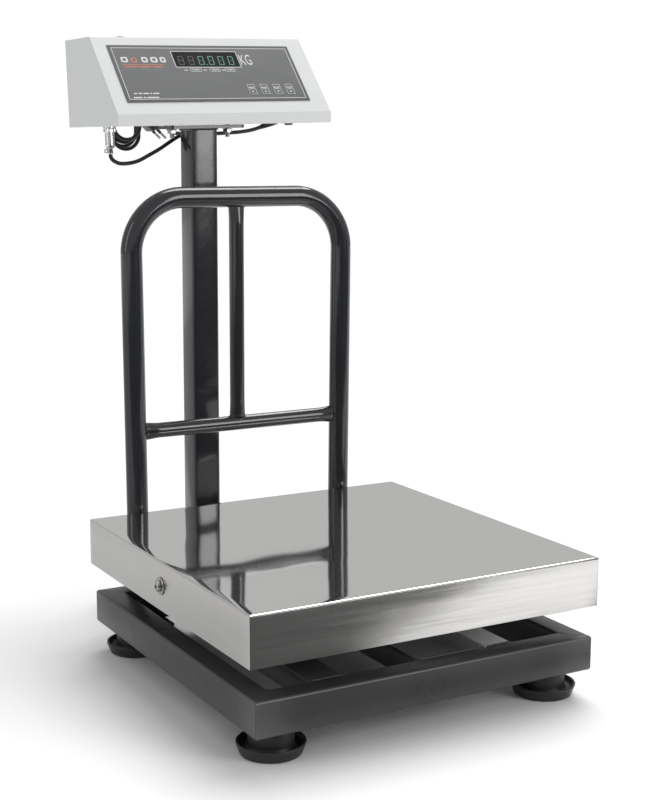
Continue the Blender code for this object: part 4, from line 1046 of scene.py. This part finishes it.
# ---------------------------------------------------------------- bracket, column and guard rail
def build_bracket():
    middle = (BASE_TOP + BASE_BOTTOM) / 2
    path = (
        (-BRACKET_X, BRACKET_START, middle), (-BRACKET_X, COLUMN_Y, middle), (BRACKET_X, COLUMN_Y, middle),
        (BRACKET_X, BRACKET_START, middle),
    )
    shape = box_tube(path, BRACKET_TUBE, BASE_TOP - BASE_BOTTOM, TUBE_WALL)
    bracket = add_piece("bracket_skin", shape, "enamel", smooth=40, stands_for=("rear_bracket",))
    front = COLUMN_Y - BRACKET_TUBE / 2
    cut(
        bracket, drill("bracket_top_drill", (0, COLUMN_Y, BASE_TOP - 0.01), (0, 0, 1), 0.011, 0.02),
        drill("bracket_front_drill", (-0.0152, front - 0.01, 0.0448), (0, 1, 0), 0.0065, 0.02),
    )
    lugs = []
    for side in (-1, 1):
        ends = sorted((side * (BRACKET_X + BRACKET_TUBE / 2 - TUBE_WALL / 2), side * LUG_REACH))
        high = BASE_TOP - LUG_DROP
        lugs.append(block((ends[0], BRACKET_START + GAP, high - LUG_HEIGHT), (ends[1], LUG_END_Y, high)))
    add_piece("guard_lugs", gather(*lugs), "enamel", bevel=0.0005)


def build_frame_welds():
    """The beads of the bracket, of the guard loop's feet and of both ends of the column."""
    welds = []
    half = BRACKET_TUBE / 2
    for side in (-1, 1):
        outer = Vector((side * (BRACKET_X + half), COLUMN_Y + half, BASE_TOP - 0.0004))
        inner = Vector((side * (BRACKET_X - half), COLUMN_Y - half, BASE_TOP - 0.0004))
        welds.append(bead(straight(outer.lerp(inner, 0.08), inner, 40), 0.0010, False))
        ends = (
            (side * (BRACKET_X - 0.016), BRACKET_START, BASE_TOP),
            (side * (BRACKET_X + 0.016), BRACKET_START, BASE_TOP),
        )
        welds.append(bead(straight(*ends, 30), 0.0012, False))
        leg = [
            (side * GUARD_HALF_FOOT + x, GUARD_Y + y, BASE_TOP + 0.0008)
            for x, y in circle(GUARD_RADIUS + 0.0006, 72)
        ]
        welds.append(bead(leg, 0.0017))
    foot = rounded_rectangle(COLUMN_SIZE + 0.0010, COLUMN_SIZE + 0.0010, 0.0045, 6)
    outline = []
    for start, end in zip(foot, foot[1:] + foot[:1]):
        length = (Vector(end) - Vector(start)).length
        for step in range(max(1, round(length / 0.0009))):
            share = step / max(1, round(length / 0.0009))
            outline.append(Vector(start).lerp(Vector(end), share))
    welds.append(bead([(p.x, COLUMN_Y + p.y, BASE_TOP + 0.0009) for p in outline], 0.0018))
    top = COLUMN_TOP + 0.0003
    welds.append(bead([(p.x, COLUMN_Y + p.y, top - p.x * math.tan(BOX_ROLL)) for p in outline], 0.0015))
    add_piece("frame_welds", gather(*welds), "enamel", smooth=60)


def build_column():
    path = straight((0, COLUMN_Y, BASE_TOP + GAP), (0, COLUMN_Y, COLUMN_TOP), 24)
    shape = box_tube(path, COLUMN_SIZE, COLUMN_SIZE, COLUMN_WALL, (0, 1, 0), corner=0.0040)
    column = add_piece("column_skin", shape, "enamel", smooth=40, stands_for=("column",))
    cut(
        column,
        drill("column_drill", (GROMMET[0], GROMMET[1] - 0.005, GROMMET[2]), (0, 1, 0), 0.0056, 0.01),
    )
    wall = COLUMN_WALL + 2 * GAP
    profile = (
        (0.0041, 0.0003), (0.0046, 0.0), (0.0064, 0.0), (0.0071, 0.0004), (0.0074, 0.0010),
        (0.0072, 0.0016), (0.0053, 0.0016), (0.0053, 0.0016 + wall), (0.0049, 0.0026 + wall),
        (0.0041, 0.0026 + wall),
    )
    place = aimed((GROMMET[0], GROMMET[1] + 0.0016 + GAP, GROMMET[2]), (0, -1, 0))
    ring = moved(turned(profile, 40, closed=True), place)
    add_piece("grommet_ring", ring, "rubber", smooth=50, stands_for=("column_grommet",))


def build_mount():
    """The plate on the column's top, with holes for the bolts that hold the indicator to it."""
    holes = [circle(0.0033, 24, (sign * MOUNT_BOLT_X, 0.0)) for sign in (-1, 1)]
    low = COLUMN_TOP + GAP
    shape = plate(
        rounded_rectangle(MOUNT_PLATE[0], MOUNT_PLATE[1], 0.004), holes, low, low + MOUNT_PLATE[2],
    )
    place = Matrix.Translation((0, COLUMN_Y, 0))
    add_piece(
        "top_plate_skin", moved(shape, place), "enamel", bevel=0.0004, stands_for=("column_top_plate",),
    )


def build_mount_bolts():
    for name, sign in (("left", -1), ("right", 1)):
        high = COLUMN_TOP
        thread = [(0.0, high - 0.0105), (0.0026, high - 0.0105)]
        for turn in range(5):
            level = high - 0.0100 + turn * 0.0010
            thread += [(0.0030, level), (0.0026, level + 0.0005)]
        thread += [(0.0030, high - 0.0048), (0.0030, BOX_BOTTOM + SHEET + GAP)]
        thread += [(0.0055, BOX_BOTTOM + SHEET + GAP), (0.0055, BOX_BOTTOM + SHEET + 0.0043)]
        thread += [(0.0, BOX_BOTTOM + SHEET + 0.0043)]
        nut = plate(
            [(0.0058 * math.cos(a), 0.0058 * math.sin(a)) for a in (math.pi / 3 * k for k in range(6))],
            [circle(0.0029, 24)], high - 0.0050, high - 0.0008,
        )
        washer = turned(
            ((0.0032, high - 0.0008), (0.0062, high - 0.0008), (0.0062, high), (0.0032, high)), 32,
            closed=True,
        )
        place = Matrix.Translation((sign * MOUNT_BOLT_X, COLUMN_Y, 0))
        whole = moved(gather(turned(thread, 24), nut, washer), place)
        add_piece(
            f"mount_nut_{name}", whole, "zinc", smooth=30, bevel=0.0003, stands_for=(f"mount_bolt_{name}",),
        )


def guard_path(steps):
    bend_z = GUARD_TOP - GUARD_BEND
    path = straight((-GUARD_HALF_FOOT, GUARD_Y, BASE_TOP + GAP), (-GUARD_HALF_TOP, GUARD_Y, bend_z), 16)[
        :-1
    ]
    for centre_x, first in ((-GUARD_HALF_TOP + GUARD_BEND, 180), (GUARD_HALF_TOP - GUARD_BEND, 90)):
        for step in range(steps + 1):
            turn = math.radians(first - 90 * step / steps)
            x = centre_x + GUARD_BEND * math.cos(turn)
            path.append(Vector((x, GUARD_Y, bend_z + GUARD_BEND * math.sin(turn))))
    path += straight((GUARD_HALF_TOP, GUARD_Y, bend_z), (GUARD_HALF_FOOT, GUARD_Y, BASE_TOP + GAP), 16)[1:]
    return path


def build_guard():
    path = guard_path(20)
    scale = []
    for point in path:
        bent = max(0.0, 1 - abs(math.hypot(abs(point.x) - 0.092, point.z - 0.460) - 0.010) / 0.055)
        scale.append((1 - 0.05 * bent, 1 + 0.03 * bent))
    level = (0, 0, 1)
    outer, inner = circle(GUARD_RADIUS, 40), circle(GUARD_RADIUS - 0.0012, 40)
    shape = tube(path, outer, inner, (0, 1, 0), (level, level), scale)
    add_piece("guard_skin", shape, "enamel", smooth=60, stands_for=("guard_loop",))

    outer, inner = circle(GUARD_BAR_RADIUS, 32), circle(GUARD_BAR_RADIUS - 0.0012, 32)
    share = (GUARD_BAR_Z - BASE_TOP) / (GUARD_TOP - GUARD_BEND - BASE_TOP)
    leg_x = GUARD_HALF_FOOT + share * (GUARD_HALF_TOP - GUARD_HALF_FOOT)
    reach = leg_x - GUARD_RADIUS + 0.0006
    path = straight((-reach, GUARD_Y, GUARD_BAR_Z), (reach, GUARD_Y, GUARD_BAR_Z), 60)
    scale = [pinched(min(point.x + reach, reach - point.x), 0.016, 0.80, 1.16) for point in path]
    shape = tube(path, outer, inner, scale=scale)
    add_piece("crossbar_skin", shape, "enamel", smooth=60, stands_for=("guard_crossbar",))

    low = GUARD_BAR_Z + GUARD_BAR_RADIUS - 0.0004
    high = GUARD_TOP - GUARD_RADIUS + 0.0006
    path = straight((GUARD_UPRIGHT_X, GUARD_Y, low), (GUARD_UPRIGHT_X, GUARD_Y, high), 60)
    scale = [pinched(min(point.z - low, high - point.z), 0.018, 1.10, 0.84) for point in path]
    shape = tube(path, outer, inner, (0, 1, 0), scale=scale)
    add_piece("upright_skin", shape, "enamel", smooth=60, stands_for=("guard_upright",))

    welds = []
    for side in (-1, 1):
        ring = []
        for u, v in circle(1.0, 60):
            y, z = 0.80 * GUARD_BAR_RADIUS * u, 1.16 * GUARD_BAR_RADIUS * v
            sag = GUARD_RADIUS - math.sqrt(GUARD_RADIUS**2 - y**2)
            ring.append((side * (reach + 0.0004 + sag), GUARD_Y + y, GUARD_BAR_Z + z))
        welds.append(bead(ring, 0.0013))
    for height, sign, radius in ((low, 1, GUARD_BAR_RADIUS), (high, -1, GUARD_RADIUS)):
        ring = []
        for u, v in circle(1.0, 60):
            x, y = 1.10 * GUARD_BAR_RADIUS * u, 0.80 * GUARD_BAR_RADIUS * v
            sag = radius - math.sqrt(max(radius**2 - y**2, 0.0))
            ring.append((GUARD_UPRIGHT_X + x, GUARD_Y + y, height - sign * sag))
        welds.append(bead(ring, 0.0012))
    add_piece("guard_welds", gather(*welds), "enamel", smooth=60)


def pinched(distance, reach, across, along):
    """How much a tube is pressed flat near an end."""
    share = max(0.0, 1 - distance / reach)
    share = share * share * (3 - 2 * share)
    return 1 + (across - 1) * share, 1 + (along - 1) * share


# ---------------------------------------------------------------- indicator
def slope_matrix():
    low = Vector((0, BOX_BACK - BOX_BOTTOM_DEPTH, BOX_BOTTOM + BOX_LIP))
    high = Vector((0, BOX_BACK - BOX_TOP_DEPTH, BOX_TOP))
    rise = high - low
    return Matrix.Translation((low + high) / 2) @ Matrix.Rotation(math.atan2(rise.z, rise.y), 4, "X")


SLOPE = slope_matrix()


def key_centre(index):
    return KEY_FIRST_X + index * KEY_PITCH, KEY_Y


def build_housing():
    front = BOX_BACK - BOX_BOTTOM_DEPTH
    low = (front, BOX_BOTTOM + BOX_LIP)
    high = (BOX_BACK - BOX_TOP_DEPTH, BOX_TOP)
    half = BOX_WIDTH / 2
    outline = [(front, BOX_BOTTOM), (BOX_BACK, BOX_BOTTOM), (BOX_BACK, BOX_TOP), high, low]
    housing = add_piece(
        "housing_skin", plate(outline, [], -half, half, axis="X"), "powder", bevel=0.0011, smooth=30,
        stands_for=("indicator_housing",),
    )
    lean = math.atan2(high[1] - low[1], high[0] - low[0])
    inner_top = BOX_TOP - SHEET
    flange_back = BOX_BACK - SHEET - GAP
    flange_front = flange_back - SHEET
    flange_low = inner_top - 0.010
    hollow = [
        (front + SHEET, BOX_BOTTOM - 0.01), (BOX_BACK + 0.01, BOX_BOTTOM - 0.01),
        (BOX_BACK + 0.01, inner_top), (flange_back, inner_top), (flange_back, flange_low),
        (flange_front, flange_low), (flange_front, inner_top),
        (high[0] + SHEET * math.tan(lean / 2), inner_top),
        (front + SHEET, low[1] - SHEET * math.tan(lean / 2)),
    ]
    inside = half - SHEET
    window = rectangle(WINDOW_SIZE[0] + 4 * GAP, WINDOW_SIZE[1] + 4 * GAP, WINDOW_CENTRE)
    tools = [
        add_piece("housing_hollow", plate(hollow, [], -inside, inside, axis="X"), None),
        add_piece("window_cutter", moved(plate(window, [], -0.01, 0.01), SLOPE), None),
    ]
    for index, name in enumerate(KEY_NAMES):
        hole = rectangle(KEY_STEM + 0.001, KEY_STEM + 0.001, key_centre(index))
        tools.append(add_piece(f"key_cutter_{name}", moved(plate(hole, [], -0.01, 0.01), SLOPE), None))
    for name, x in COVER_SCREWS.items():
        tools.append(
            drill(f"flange_drill_{name}", (x, flange_front - 0.004, COVER_SCREW_Z), (0, 1, 0), 0.002, 0.006)
        )
    cut(housing, *tools)


def build_cover():
    front = BOX_BACK - BOX_BOTTOM_DEPTH + SHEET + GAP
    high = BOX_TOP - SHEET - GAP
    outline = [
        (front, BOX_BOTTOM), (BOX_BACK - 0.0015, BOX_BOTTOM), (BOX_BACK - 0.0004, BOX_BOTTOM + 0.0004),
        (BOX_BACK, BOX_BOTTOM + 0.0015), (BOX_BACK, high), (BOX_BACK - SHEET, high),
        (BOX_BACK - SHEET, BOX_BOTTOM + SHEET), (front, BOX_BOTTOM + SHEET),
    ]
    half = BOX_WIDTH / 2 - SHEET - GAP
    cover = add_piece(
        "cover_skin", plate(outline, [], -half, half, axis="X"), "powder", smooth=30,
        stands_for=("indicator_cover",),
    )
    below = BOX_BOTTOM - 0.005
    slot = rounded_rectangle(0.032, 0.0100, 0.0048, 5)
    place = Matrix.Translation((BOOT_START[0] - 0.001, BOOT_START[1], below))
    tools = [
        drill("socket_drill", (SOCKET_X, SOCKET_Y, below), (0, 0, 1), 0.0063, 0.01),
        add_piece("boot_slot", moved(plate(slot, [], 0.0, 0.01), place), None),
    ]
    for sign in (-1, 1):
        start = (sign * MOUNT_BOLT_X, COLUMN_Y, below)
        tools.append(drill(f"cover_bolt_drill_{sign + 1}", start, (0, 0, 1), 0.0033, 0.01))
    for name, x in COVER_SCREWS.items():
        tools.append(
            drill(f"cover_drill_{name}", (x, BOX_BACK - 0.003, COVER_SCREW_Z), (0, 1, 0), 0.002, 0.006)
        )
    cut(cover, *tools)


def build_cover_screws():
    for name, x in COVER_SCREWS.items():
        place = aimed((x, BOX_BACK + GAP, COVER_SCREW_Z), (0, 1, 0))
        head = (
            (0.0, -0.0070), (0.0016, -0.0065), (0.0016, 0.0), (0.0034, 0.0), (0.0034, 0.0007),
            (0.0029, 0.0014), (0.0018, 0.00185), (0.0, 0.0019),
        )
        screw = add_piece(
            f"cover_bolt_{name}", moved(turned(head, 32), place), "zinc", smooth=50,
            stands_for=(f"cover_screw_{name}",),
        )
        for index, (wide, tall) in enumerate(((0.0034, 0.0007), (0.0007, 0.0034))):
            bar = block((-wide / 2, -tall / 2, 0.0007), (wide / 2, tall / 2, 0.0030))
            cut(screw, add_piece(f"cross_{name}_{index}", moved(bar, place), None))


def build_blanking_plug():
    plug = turned(
        (
            (0.0, BOX_BOTTOM - 0.0024), (0.0040, BOX_BOTTOM - 0.0024), (0.0052, BOX_BOTTOM - 0.0015),
            (0.0055, BOX_BOTTOM - 0.0001), (0.0, BOX_BOTTOM - 0.0001),
        ),
        40,
    )
    add_piece(
        "blanking_plug", moved(plug, Matrix.Translation((0.1209, SOCKET_Y, 0.0))), "rubber", smooth=50,
    )


def line_frame(width, height, centre, thickness, radius=0.0):
    """A thin printed outline."""
    if radius:
        outer = rounded_rectangle(width, height, radius, 6, centre)
        inner = rounded_rectangle(
            width - 2 * thickness, height - 2 * thickness, radius - thickness, 6, centre,
        )
    else:
        outer = rectangle(width, height, centre)
        inner = rectangle(width - 2 * thickness, height - 2 * thickness, centre)
    return plate(outer, [inner], 0.0, PRINT)


def dashes(start, widths, height, space):
    """Short printed bars in a row, where the real panel has small lettering."""
    x, y = start
    bars = []
    for width in widths:
        bars.append(plate(rectangle(width, height, (x + width / 2, y)), [], 0.0, PRINT))
        x += width + space
    return bars


def unit_letters(text, low, high):
    """The unit's letters as a flat solid that fills a box on the panel."""
    curve = bpy.data.curves.new("unit", "FONT")
    curve.body = text
    curve.extrude = PRINT / 2
    holder = bpy.data.objects.new("unit", curve)
    bpy.context.scene.collection.objects.link(holder)
    bpy.context.view_layer.update()
    mesh = bpy.data.meshes.new_from_object(holder.evaluated_get(bpy.context.evaluated_depsgraph_get()))
    bpy.data.objects.remove(holder)
    letters = bmesh.new()
    letters.from_mesh(mesh)
    bpy.data.meshes.remove(mesh)
    xs = [vertex.co.x for vertex in letters.verts]
    ys = [vertex.co.y for vertex in letters.verts]
    wide, tall = max(xs) - min(xs), max(ys) - min(ys)
    for vertex in letters.verts:
        vertex.co.x = low[0] + (vertex.co.x - min(xs)) / wide * (high[0] - low[0])
        vertex.co.y = low[1] + (vertex.co.y - min(ys)) / tall * (high[1] - low[1])
        vertex.co.z = PRINT / 2 + vertex.co.z
    return letters


def digit_segments(centre, segments):
    """Bars of a seven-segment figure: a is on top, the letters run clockwise and g is in the middle."""
    x, y = centre
    w, h, t = DIGIT_SIZE[0] / 2, DIGIT_SIZE[1] / 2, DIGIT_STROKE / 2
    spans = {
        "a": ((-w, h - 2 * t), (w, h)), "b": ((w - 2 * t, 0), (w, h)), "c": ((w - 2 * t, -h), (w, 0)),
        "d": ((-w, -h), (w, -h + 2 * t)), "e": ((-w, -h), (-w + 2 * t, 0)), "f": ((-w, 0), (-w + 2 * t, h)),
        "g": ((-w, -t), (w, t)),
    }
    bars = []
    for name in segments:
        (x0, y0), (x1, y1) = spans[name]
        x0, x1, y0, y1 = x0 + DIGIT_INSET, x1 - DIGIT_INSET, y0 + DIGIT_INSET, y1 - DIGIT_INSET
        cutback = min(x1 - x0, y1 - y0) / 2
        if x1 - x0 > y1 - y0:
            middle = (y0 + y1) / 2
            outline = [(x0, middle), (x0 + cutback, y0), (x1 - cutback, y0)]
            outline += [(x1, middle), (x1 - cutback, y1), (x0 + cutback, y1)]
        else:
            middle = (x0 + x1) / 2
            outline = [(middle, y0), (x1, y0 + cutback), (x1, y1 - cutback)]
            outline += [(middle, y1), (x0, y1 - cutback), (x0, y0 + cutback)]
        shifted = [(x + u + DIGIT_SLANT * v, y + v) for u, v in outline]
        bars.append(plate(shifted, [], 0.0, PRINT))
    return bars


def on_panel(height):
    return SLOPE @ Matrix.Translation((0, 0, height))


def build_front_panel():
    surface_z = GAP + FILM
    openings = [rectangle(WINDOW_SIZE[0] + 2 * GAP, WINDOW_SIZE[1] + 2 * GAP, WINDOW_CENTRE)]
    for index in range(len(KEY_NAMES)):
        openings.append(rectangle(KEY_SIZE[0] + 2 * GAP, KEY_SIZE[1] + 2 * GAP, key_centre(index)))
    sheet = plate(rectangle(*OVERLAY_SIZE, OVERLAY_CENTRE), openings, GAP, surface_z)
    add_piece("overlay_edge", moved(sheet, SLOPE), "film_edge", stands_for=("front_overlay",))
    inner_size = (OVERLAY_SIZE[0] - 0.0076, OVERLAY_SIZE[1] - 0.0076)
    field = plate(rectangle(*inner_size, OVERLAY_CENTRE), openings, 0.0, PRINT)
    add_piece("overlay_field", moved(field, on_panel(surface_z)), "film")

    window = plate(rectangle(*WINDOW_SIZE, WINDOW_CENTRE), [], -0.0015, FILM)
    add_piece("window_pane", moved(window, SLOPE), "acrylic", bevel=0.0002, stands_for=("display_window",))

    light = [line_frame(*inner_size, OVERLAY_CENTRE, 0.0008)]
    light.append(line_frame(WINDOW_SIZE[0] + 0.0026, WINDOW_SIZE[1] + 0.0026, WINDOW_CENTRE, 0.0009))
    for low, high in ((-0.0271, -0.0121), (-0.0019, 0.0125), (0.0183, 0.0321)):
        centre = ((low + high) / 2, 0.0074)
        light.append(line_frame(high - low, 0.0060, centre, 0.0005, 0.0029))
        light += dashes((low + 0.0030, 0.0074), (0.0026, 0.0034, 0.0018), 0.0013, 0.0006)
    for start in ((-0.0345, 0.0070), (-0.0098, 0.0070), (0.0141, 0.0070)):
        light += dashes(start, (0.0022, 0.0018), 0.0013, 0.0004)
    light.append(unit_letters("KG", (0.0435, 0.0155), (0.0585, 0.0318)))
    light += dashes((-0.1090, -0.0288), (0.0040, 0.0046, 0.0068, 0.0020, 0.0074), 0.0018, 0.0016)
    light += dashes((-0.1110, -0.0350), (0.0105, 0.0030, 0.0145), 0.0018, 0.0016)
    widths = (0.0098, 0.0090, 0.0098, 0.0084)
    for start, width in zip((-0.1100, -0.0845, -0.0730, -0.0612), widths):
        blockmark = line_frame(width - 0.0012, 0.0084, (start + width / 2, 0.0234), 0.0022, 0.0023)
        light.append(blockmark)
    add_piece("panel_print", moved(gather(*light), on_panel(surface_z + PRINT)), "print")

    warm = [line_frame(0.0082, 0.0082, (-0.0935, 0.0226), 0.0018, 0.0040)]
    warm.append(plate(rectangle(0.0520, 0.0010, (-0.0838, 0.0157)), [], 0.0, PRINT))
    warm += dashes((-0.1080, 0.0123), (0.0170, 0.0140, 0.0120), 0.0018, 0.0020)
    add_piece("panel_mark", moved(gather(*warm), on_panel(surface_z + PRINT)), "orange_print")


def build_digits():
    ghosts, lit = [], []
    for number in range(DIGIT_COUNT):
        centre = (DIGIT_FIRST_X + DIGIT_PITCH * number, DIGIT_Y)
        if number < BLANK_DIGITS:
            ghosts += digit_segments(centre, "abcdefg")
        else:
            lit += digit_segments(centre, "abcdef")
            ghosts += digit_segments(centre, "g")
    lit.append(plate(rectangle(0.0013, 0.0013, (-0.0018, 0.0160)), [], 0.0, PRINT))
    add_piece("digits_lit", moved(gather(*lit), on_panel(FILM + 0.00002)), "lit")
    add_piece("digits_unlit", moved(gather(*ghosts), on_panel(FILM + 0.00002)), "unlit")


def build_keys():
    for index, name in enumerate(KEY_NAMES):
        x, y = key_centre(index)
        place = SLOPE @ Matrix.Translation((x, y, 0.0))
        low = 2 * GAP
        cap = plate(rounded_rectangle(*KEY_SIZE, 0.001), [], low, low + FILM * 0.8)
        crown = bmesh.new()
        rings = []
        for inset, rise in ((0.0, 0.0), (0.0006, 0.00008), (0.0016, 0.00010)):
            outline = rounded_rectangle(KEY_SIZE[0] - 2 * inset, KEY_SIZE[1] - 2 * inset, 0.001)
            rings.append([crown.verts.new((u, v, low + FILM * 0.8 + rise)) for u, v in outline])
        for ring_a, ring_b in zip(rings, rings[1:]):
            bridge(crown, ring_a, ring_b)
        crown.faces.new(rings[-1])
        stem = plate(rectangle(KEY_STEM, KEY_STEM), [], -0.0040, low)
        whole = moved(gather(cap, crown, stem), place)
        add_piece(f"key_cap_{name}", whole, "film", f"{name}_button", stands_for=(f"key_{name}",))
        marks = [line_frame(KEY_SIZE[0] - 0.0004, KEY_SIZE[1] - 0.0004, (0, 0), 0.00055)]
        marks += dashes((-0.0036, 0.0030), (0.0030, 0.0034), 0.0013, 0.0006)
        marks += dashes((-0.0030, 0.0006), (0.0060,), 0.0007, 0.0006)
        marks += dashes((-0.0008, -0.0034), (0.0020,), 0.0020, 0.0006)
        place = place @ Matrix.Translation((0, 0, low + FILM * 0.8 + 0.00011))
        add_piece(f"key_print_{name}", moved(gather(*marks), place), "print", f"{name}_button")


def build_connector():
    place = Matrix.Translation((SOCKET_X, SOCKET_Y, 0.0))
    bottom = BOX_BOTTOM
    socket = (
        (0.0049, bottom - 0.0018), (0.0071, bottom - 0.0018), (0.0075, bottom - 0.0014),
        (0.0075, bottom - GAP), (0.0060, bottom - GAP), (0.0060, bottom + SHEET + GAP),
        (0.0085, bottom + SHEET + GAP), (0.0085, bottom + SHEET + 0.003), (0.0060, bottom + SHEET + 0.003),
        (0.0060, bottom + 0.0120), (0.0, bottom + 0.0120), (0.0, bottom + 0.0030),
        (0.0049, bottom + 0.0030),
    )
    shape = moved(turned(socket, 48, closed=True), place)
    add_piece("socket_body", shape, "chrome", smooth=35, stands_for=("signal_socket",))

    high, low = bottom - 0.0021, 0.5797
    ring = bmesh.new()
    count = 96
    rings = []
    for radius, level, knurl in (
        (0.0052, low, 0.0), (0.0066, low, 0.0), (0.0070, low + 0.0004, 0.00018),
        (0.0070, high - 0.0004, 0.00018), (0.0066, high, 0.0), (0.0052, high, 0.0),
    ):
        points = []
        for index, (x, y) in enumerate(circle(1.0, count)):
            reach = radius + (knurl if index % 4 < 2 else -knurl)
            points.append(ring.verts.new((x * reach, y * reach, level)))
        rings.append(points)
    for ring_a, ring_b in zip(rings, rings[1:] + rings[:1]):
        bridge(ring, ring_a, ring_b)
    add_piece(
        "knurled_ring", moved(ring, place), "chrome", "connector_nut", smooth=30,
        stands_for=("coupling_ring",),
    )

    shell = (
        (0.0, 0.5545), (0.0036, 0.5545), (0.0042, 0.5549), (0.0042, 0.5606), (0.0046, 0.5612),
        (0.0055, 0.5620), (0.0056, 0.5626), (0.0056, 0.5655), (0.0052, 0.5658), (0.0052, 0.5664),
        (0.0056, 0.5667), (0.0056, 0.5772), (0.0053, 0.5775), (0.0053, 0.5782), (0.0056, 0.5785),
        (0.0056, low - GAP), (0.0045, low - GAP), (0.0045, bottom + 0.0020), (0.0, bottom + 0.0020),
    )
    saddles = []
    for side in (-1, 1):
        bar = plate(rounded_rectangle(0.0136, 0.0022, 0.0009, 3, (0, side * 0.0023)), [], 0.5557, 0.5603)
        saddles.append(bar)
    for side in (-1, 1):
        screw = turned(((0.0, 0.0), (0.0013, 0.0), (0.0013, 0.0066), (0.0, 0.0066)), 16)
        saddles.append(moved(screw, aimed((side * 0.0053, -0.0033, 0.5580), (0, 1, 0))))
    whole = moved(gather(turned(shell, 48), *saddles), place)
    add_piece("plug_shell", whole, "chrome", smooth=35, stands_for=("signal_plug",))


def build_boot():
    """The strain relief of the mains lead, with rings round its end."""
    boot = [(0.0, -0.010), (0.0038, -0.010), (0.0042, -0.006), (0.0042, 0.002)]
    for number in range(6):
        start = 0.0030 + number * 0.0023
        radius = 0.0040 - number * 0.00018
        boot += [(radius, start), (radius, start + 0.0011), (radius - 0.0006, start + 0.0013)]
        boot += [(radius - 0.0006, start + 0.0020)]
    boot += [(0.0027, BOOT_LENGTH - GAP), (0.0, BOOT_LENGTH - GAP)]
    shape = moved(turned(boot, 32), aimed(BOOT_START, BOOT_DIRECTION))
    add_piece("boot_rubber", shape, "rubber", smooth=40, stands_for=("mains_boot",))


# ---------------------------------------------------------------- CAD nodes that stay
def finish_nodes():
    """Gives each CAD node that is still shown the finish of its material slot."""
    by_slot = {
        "grey_paint": "base_enamel", "black_paint": "enamel", "aluminium": "aluminium", "zinc": "zinc",
        "circuit_board": "board", "copper_winding": "winding", "black_plastic": "plastic",
        "chrome": "chrome", "black_rubber": "rubber",
    }
    slots = {part["node"]: part["material_slot"] for part in frame["record"]["subparts"]}
    for name, node in frame["nodes"].items():
        if node.hide_render:
            continue
        node.data.materials.clear()
        node.data.materials.append(FINISHES[by_slot[slots[name]]][0])


build_camera()
build_cords()
bpy.context.scene.view_settings.view_transform = "Standard"
build_world()
build_floor()
build_lights()
build_cards()
build_base_frame()
build_feet()
build_pan()
build_pan_screws()
build_bracket()
build_frame_welds()
build_column()
build_guard()
for build in (
    build_mount, build_mount_bolts, build_housing, build_cover, build_cover_screws, build_blanking_plug,
    build_front_panel, build_digits, build_keys, build_connector, build_boot,
):
    leaning(build)
finish_nodes()
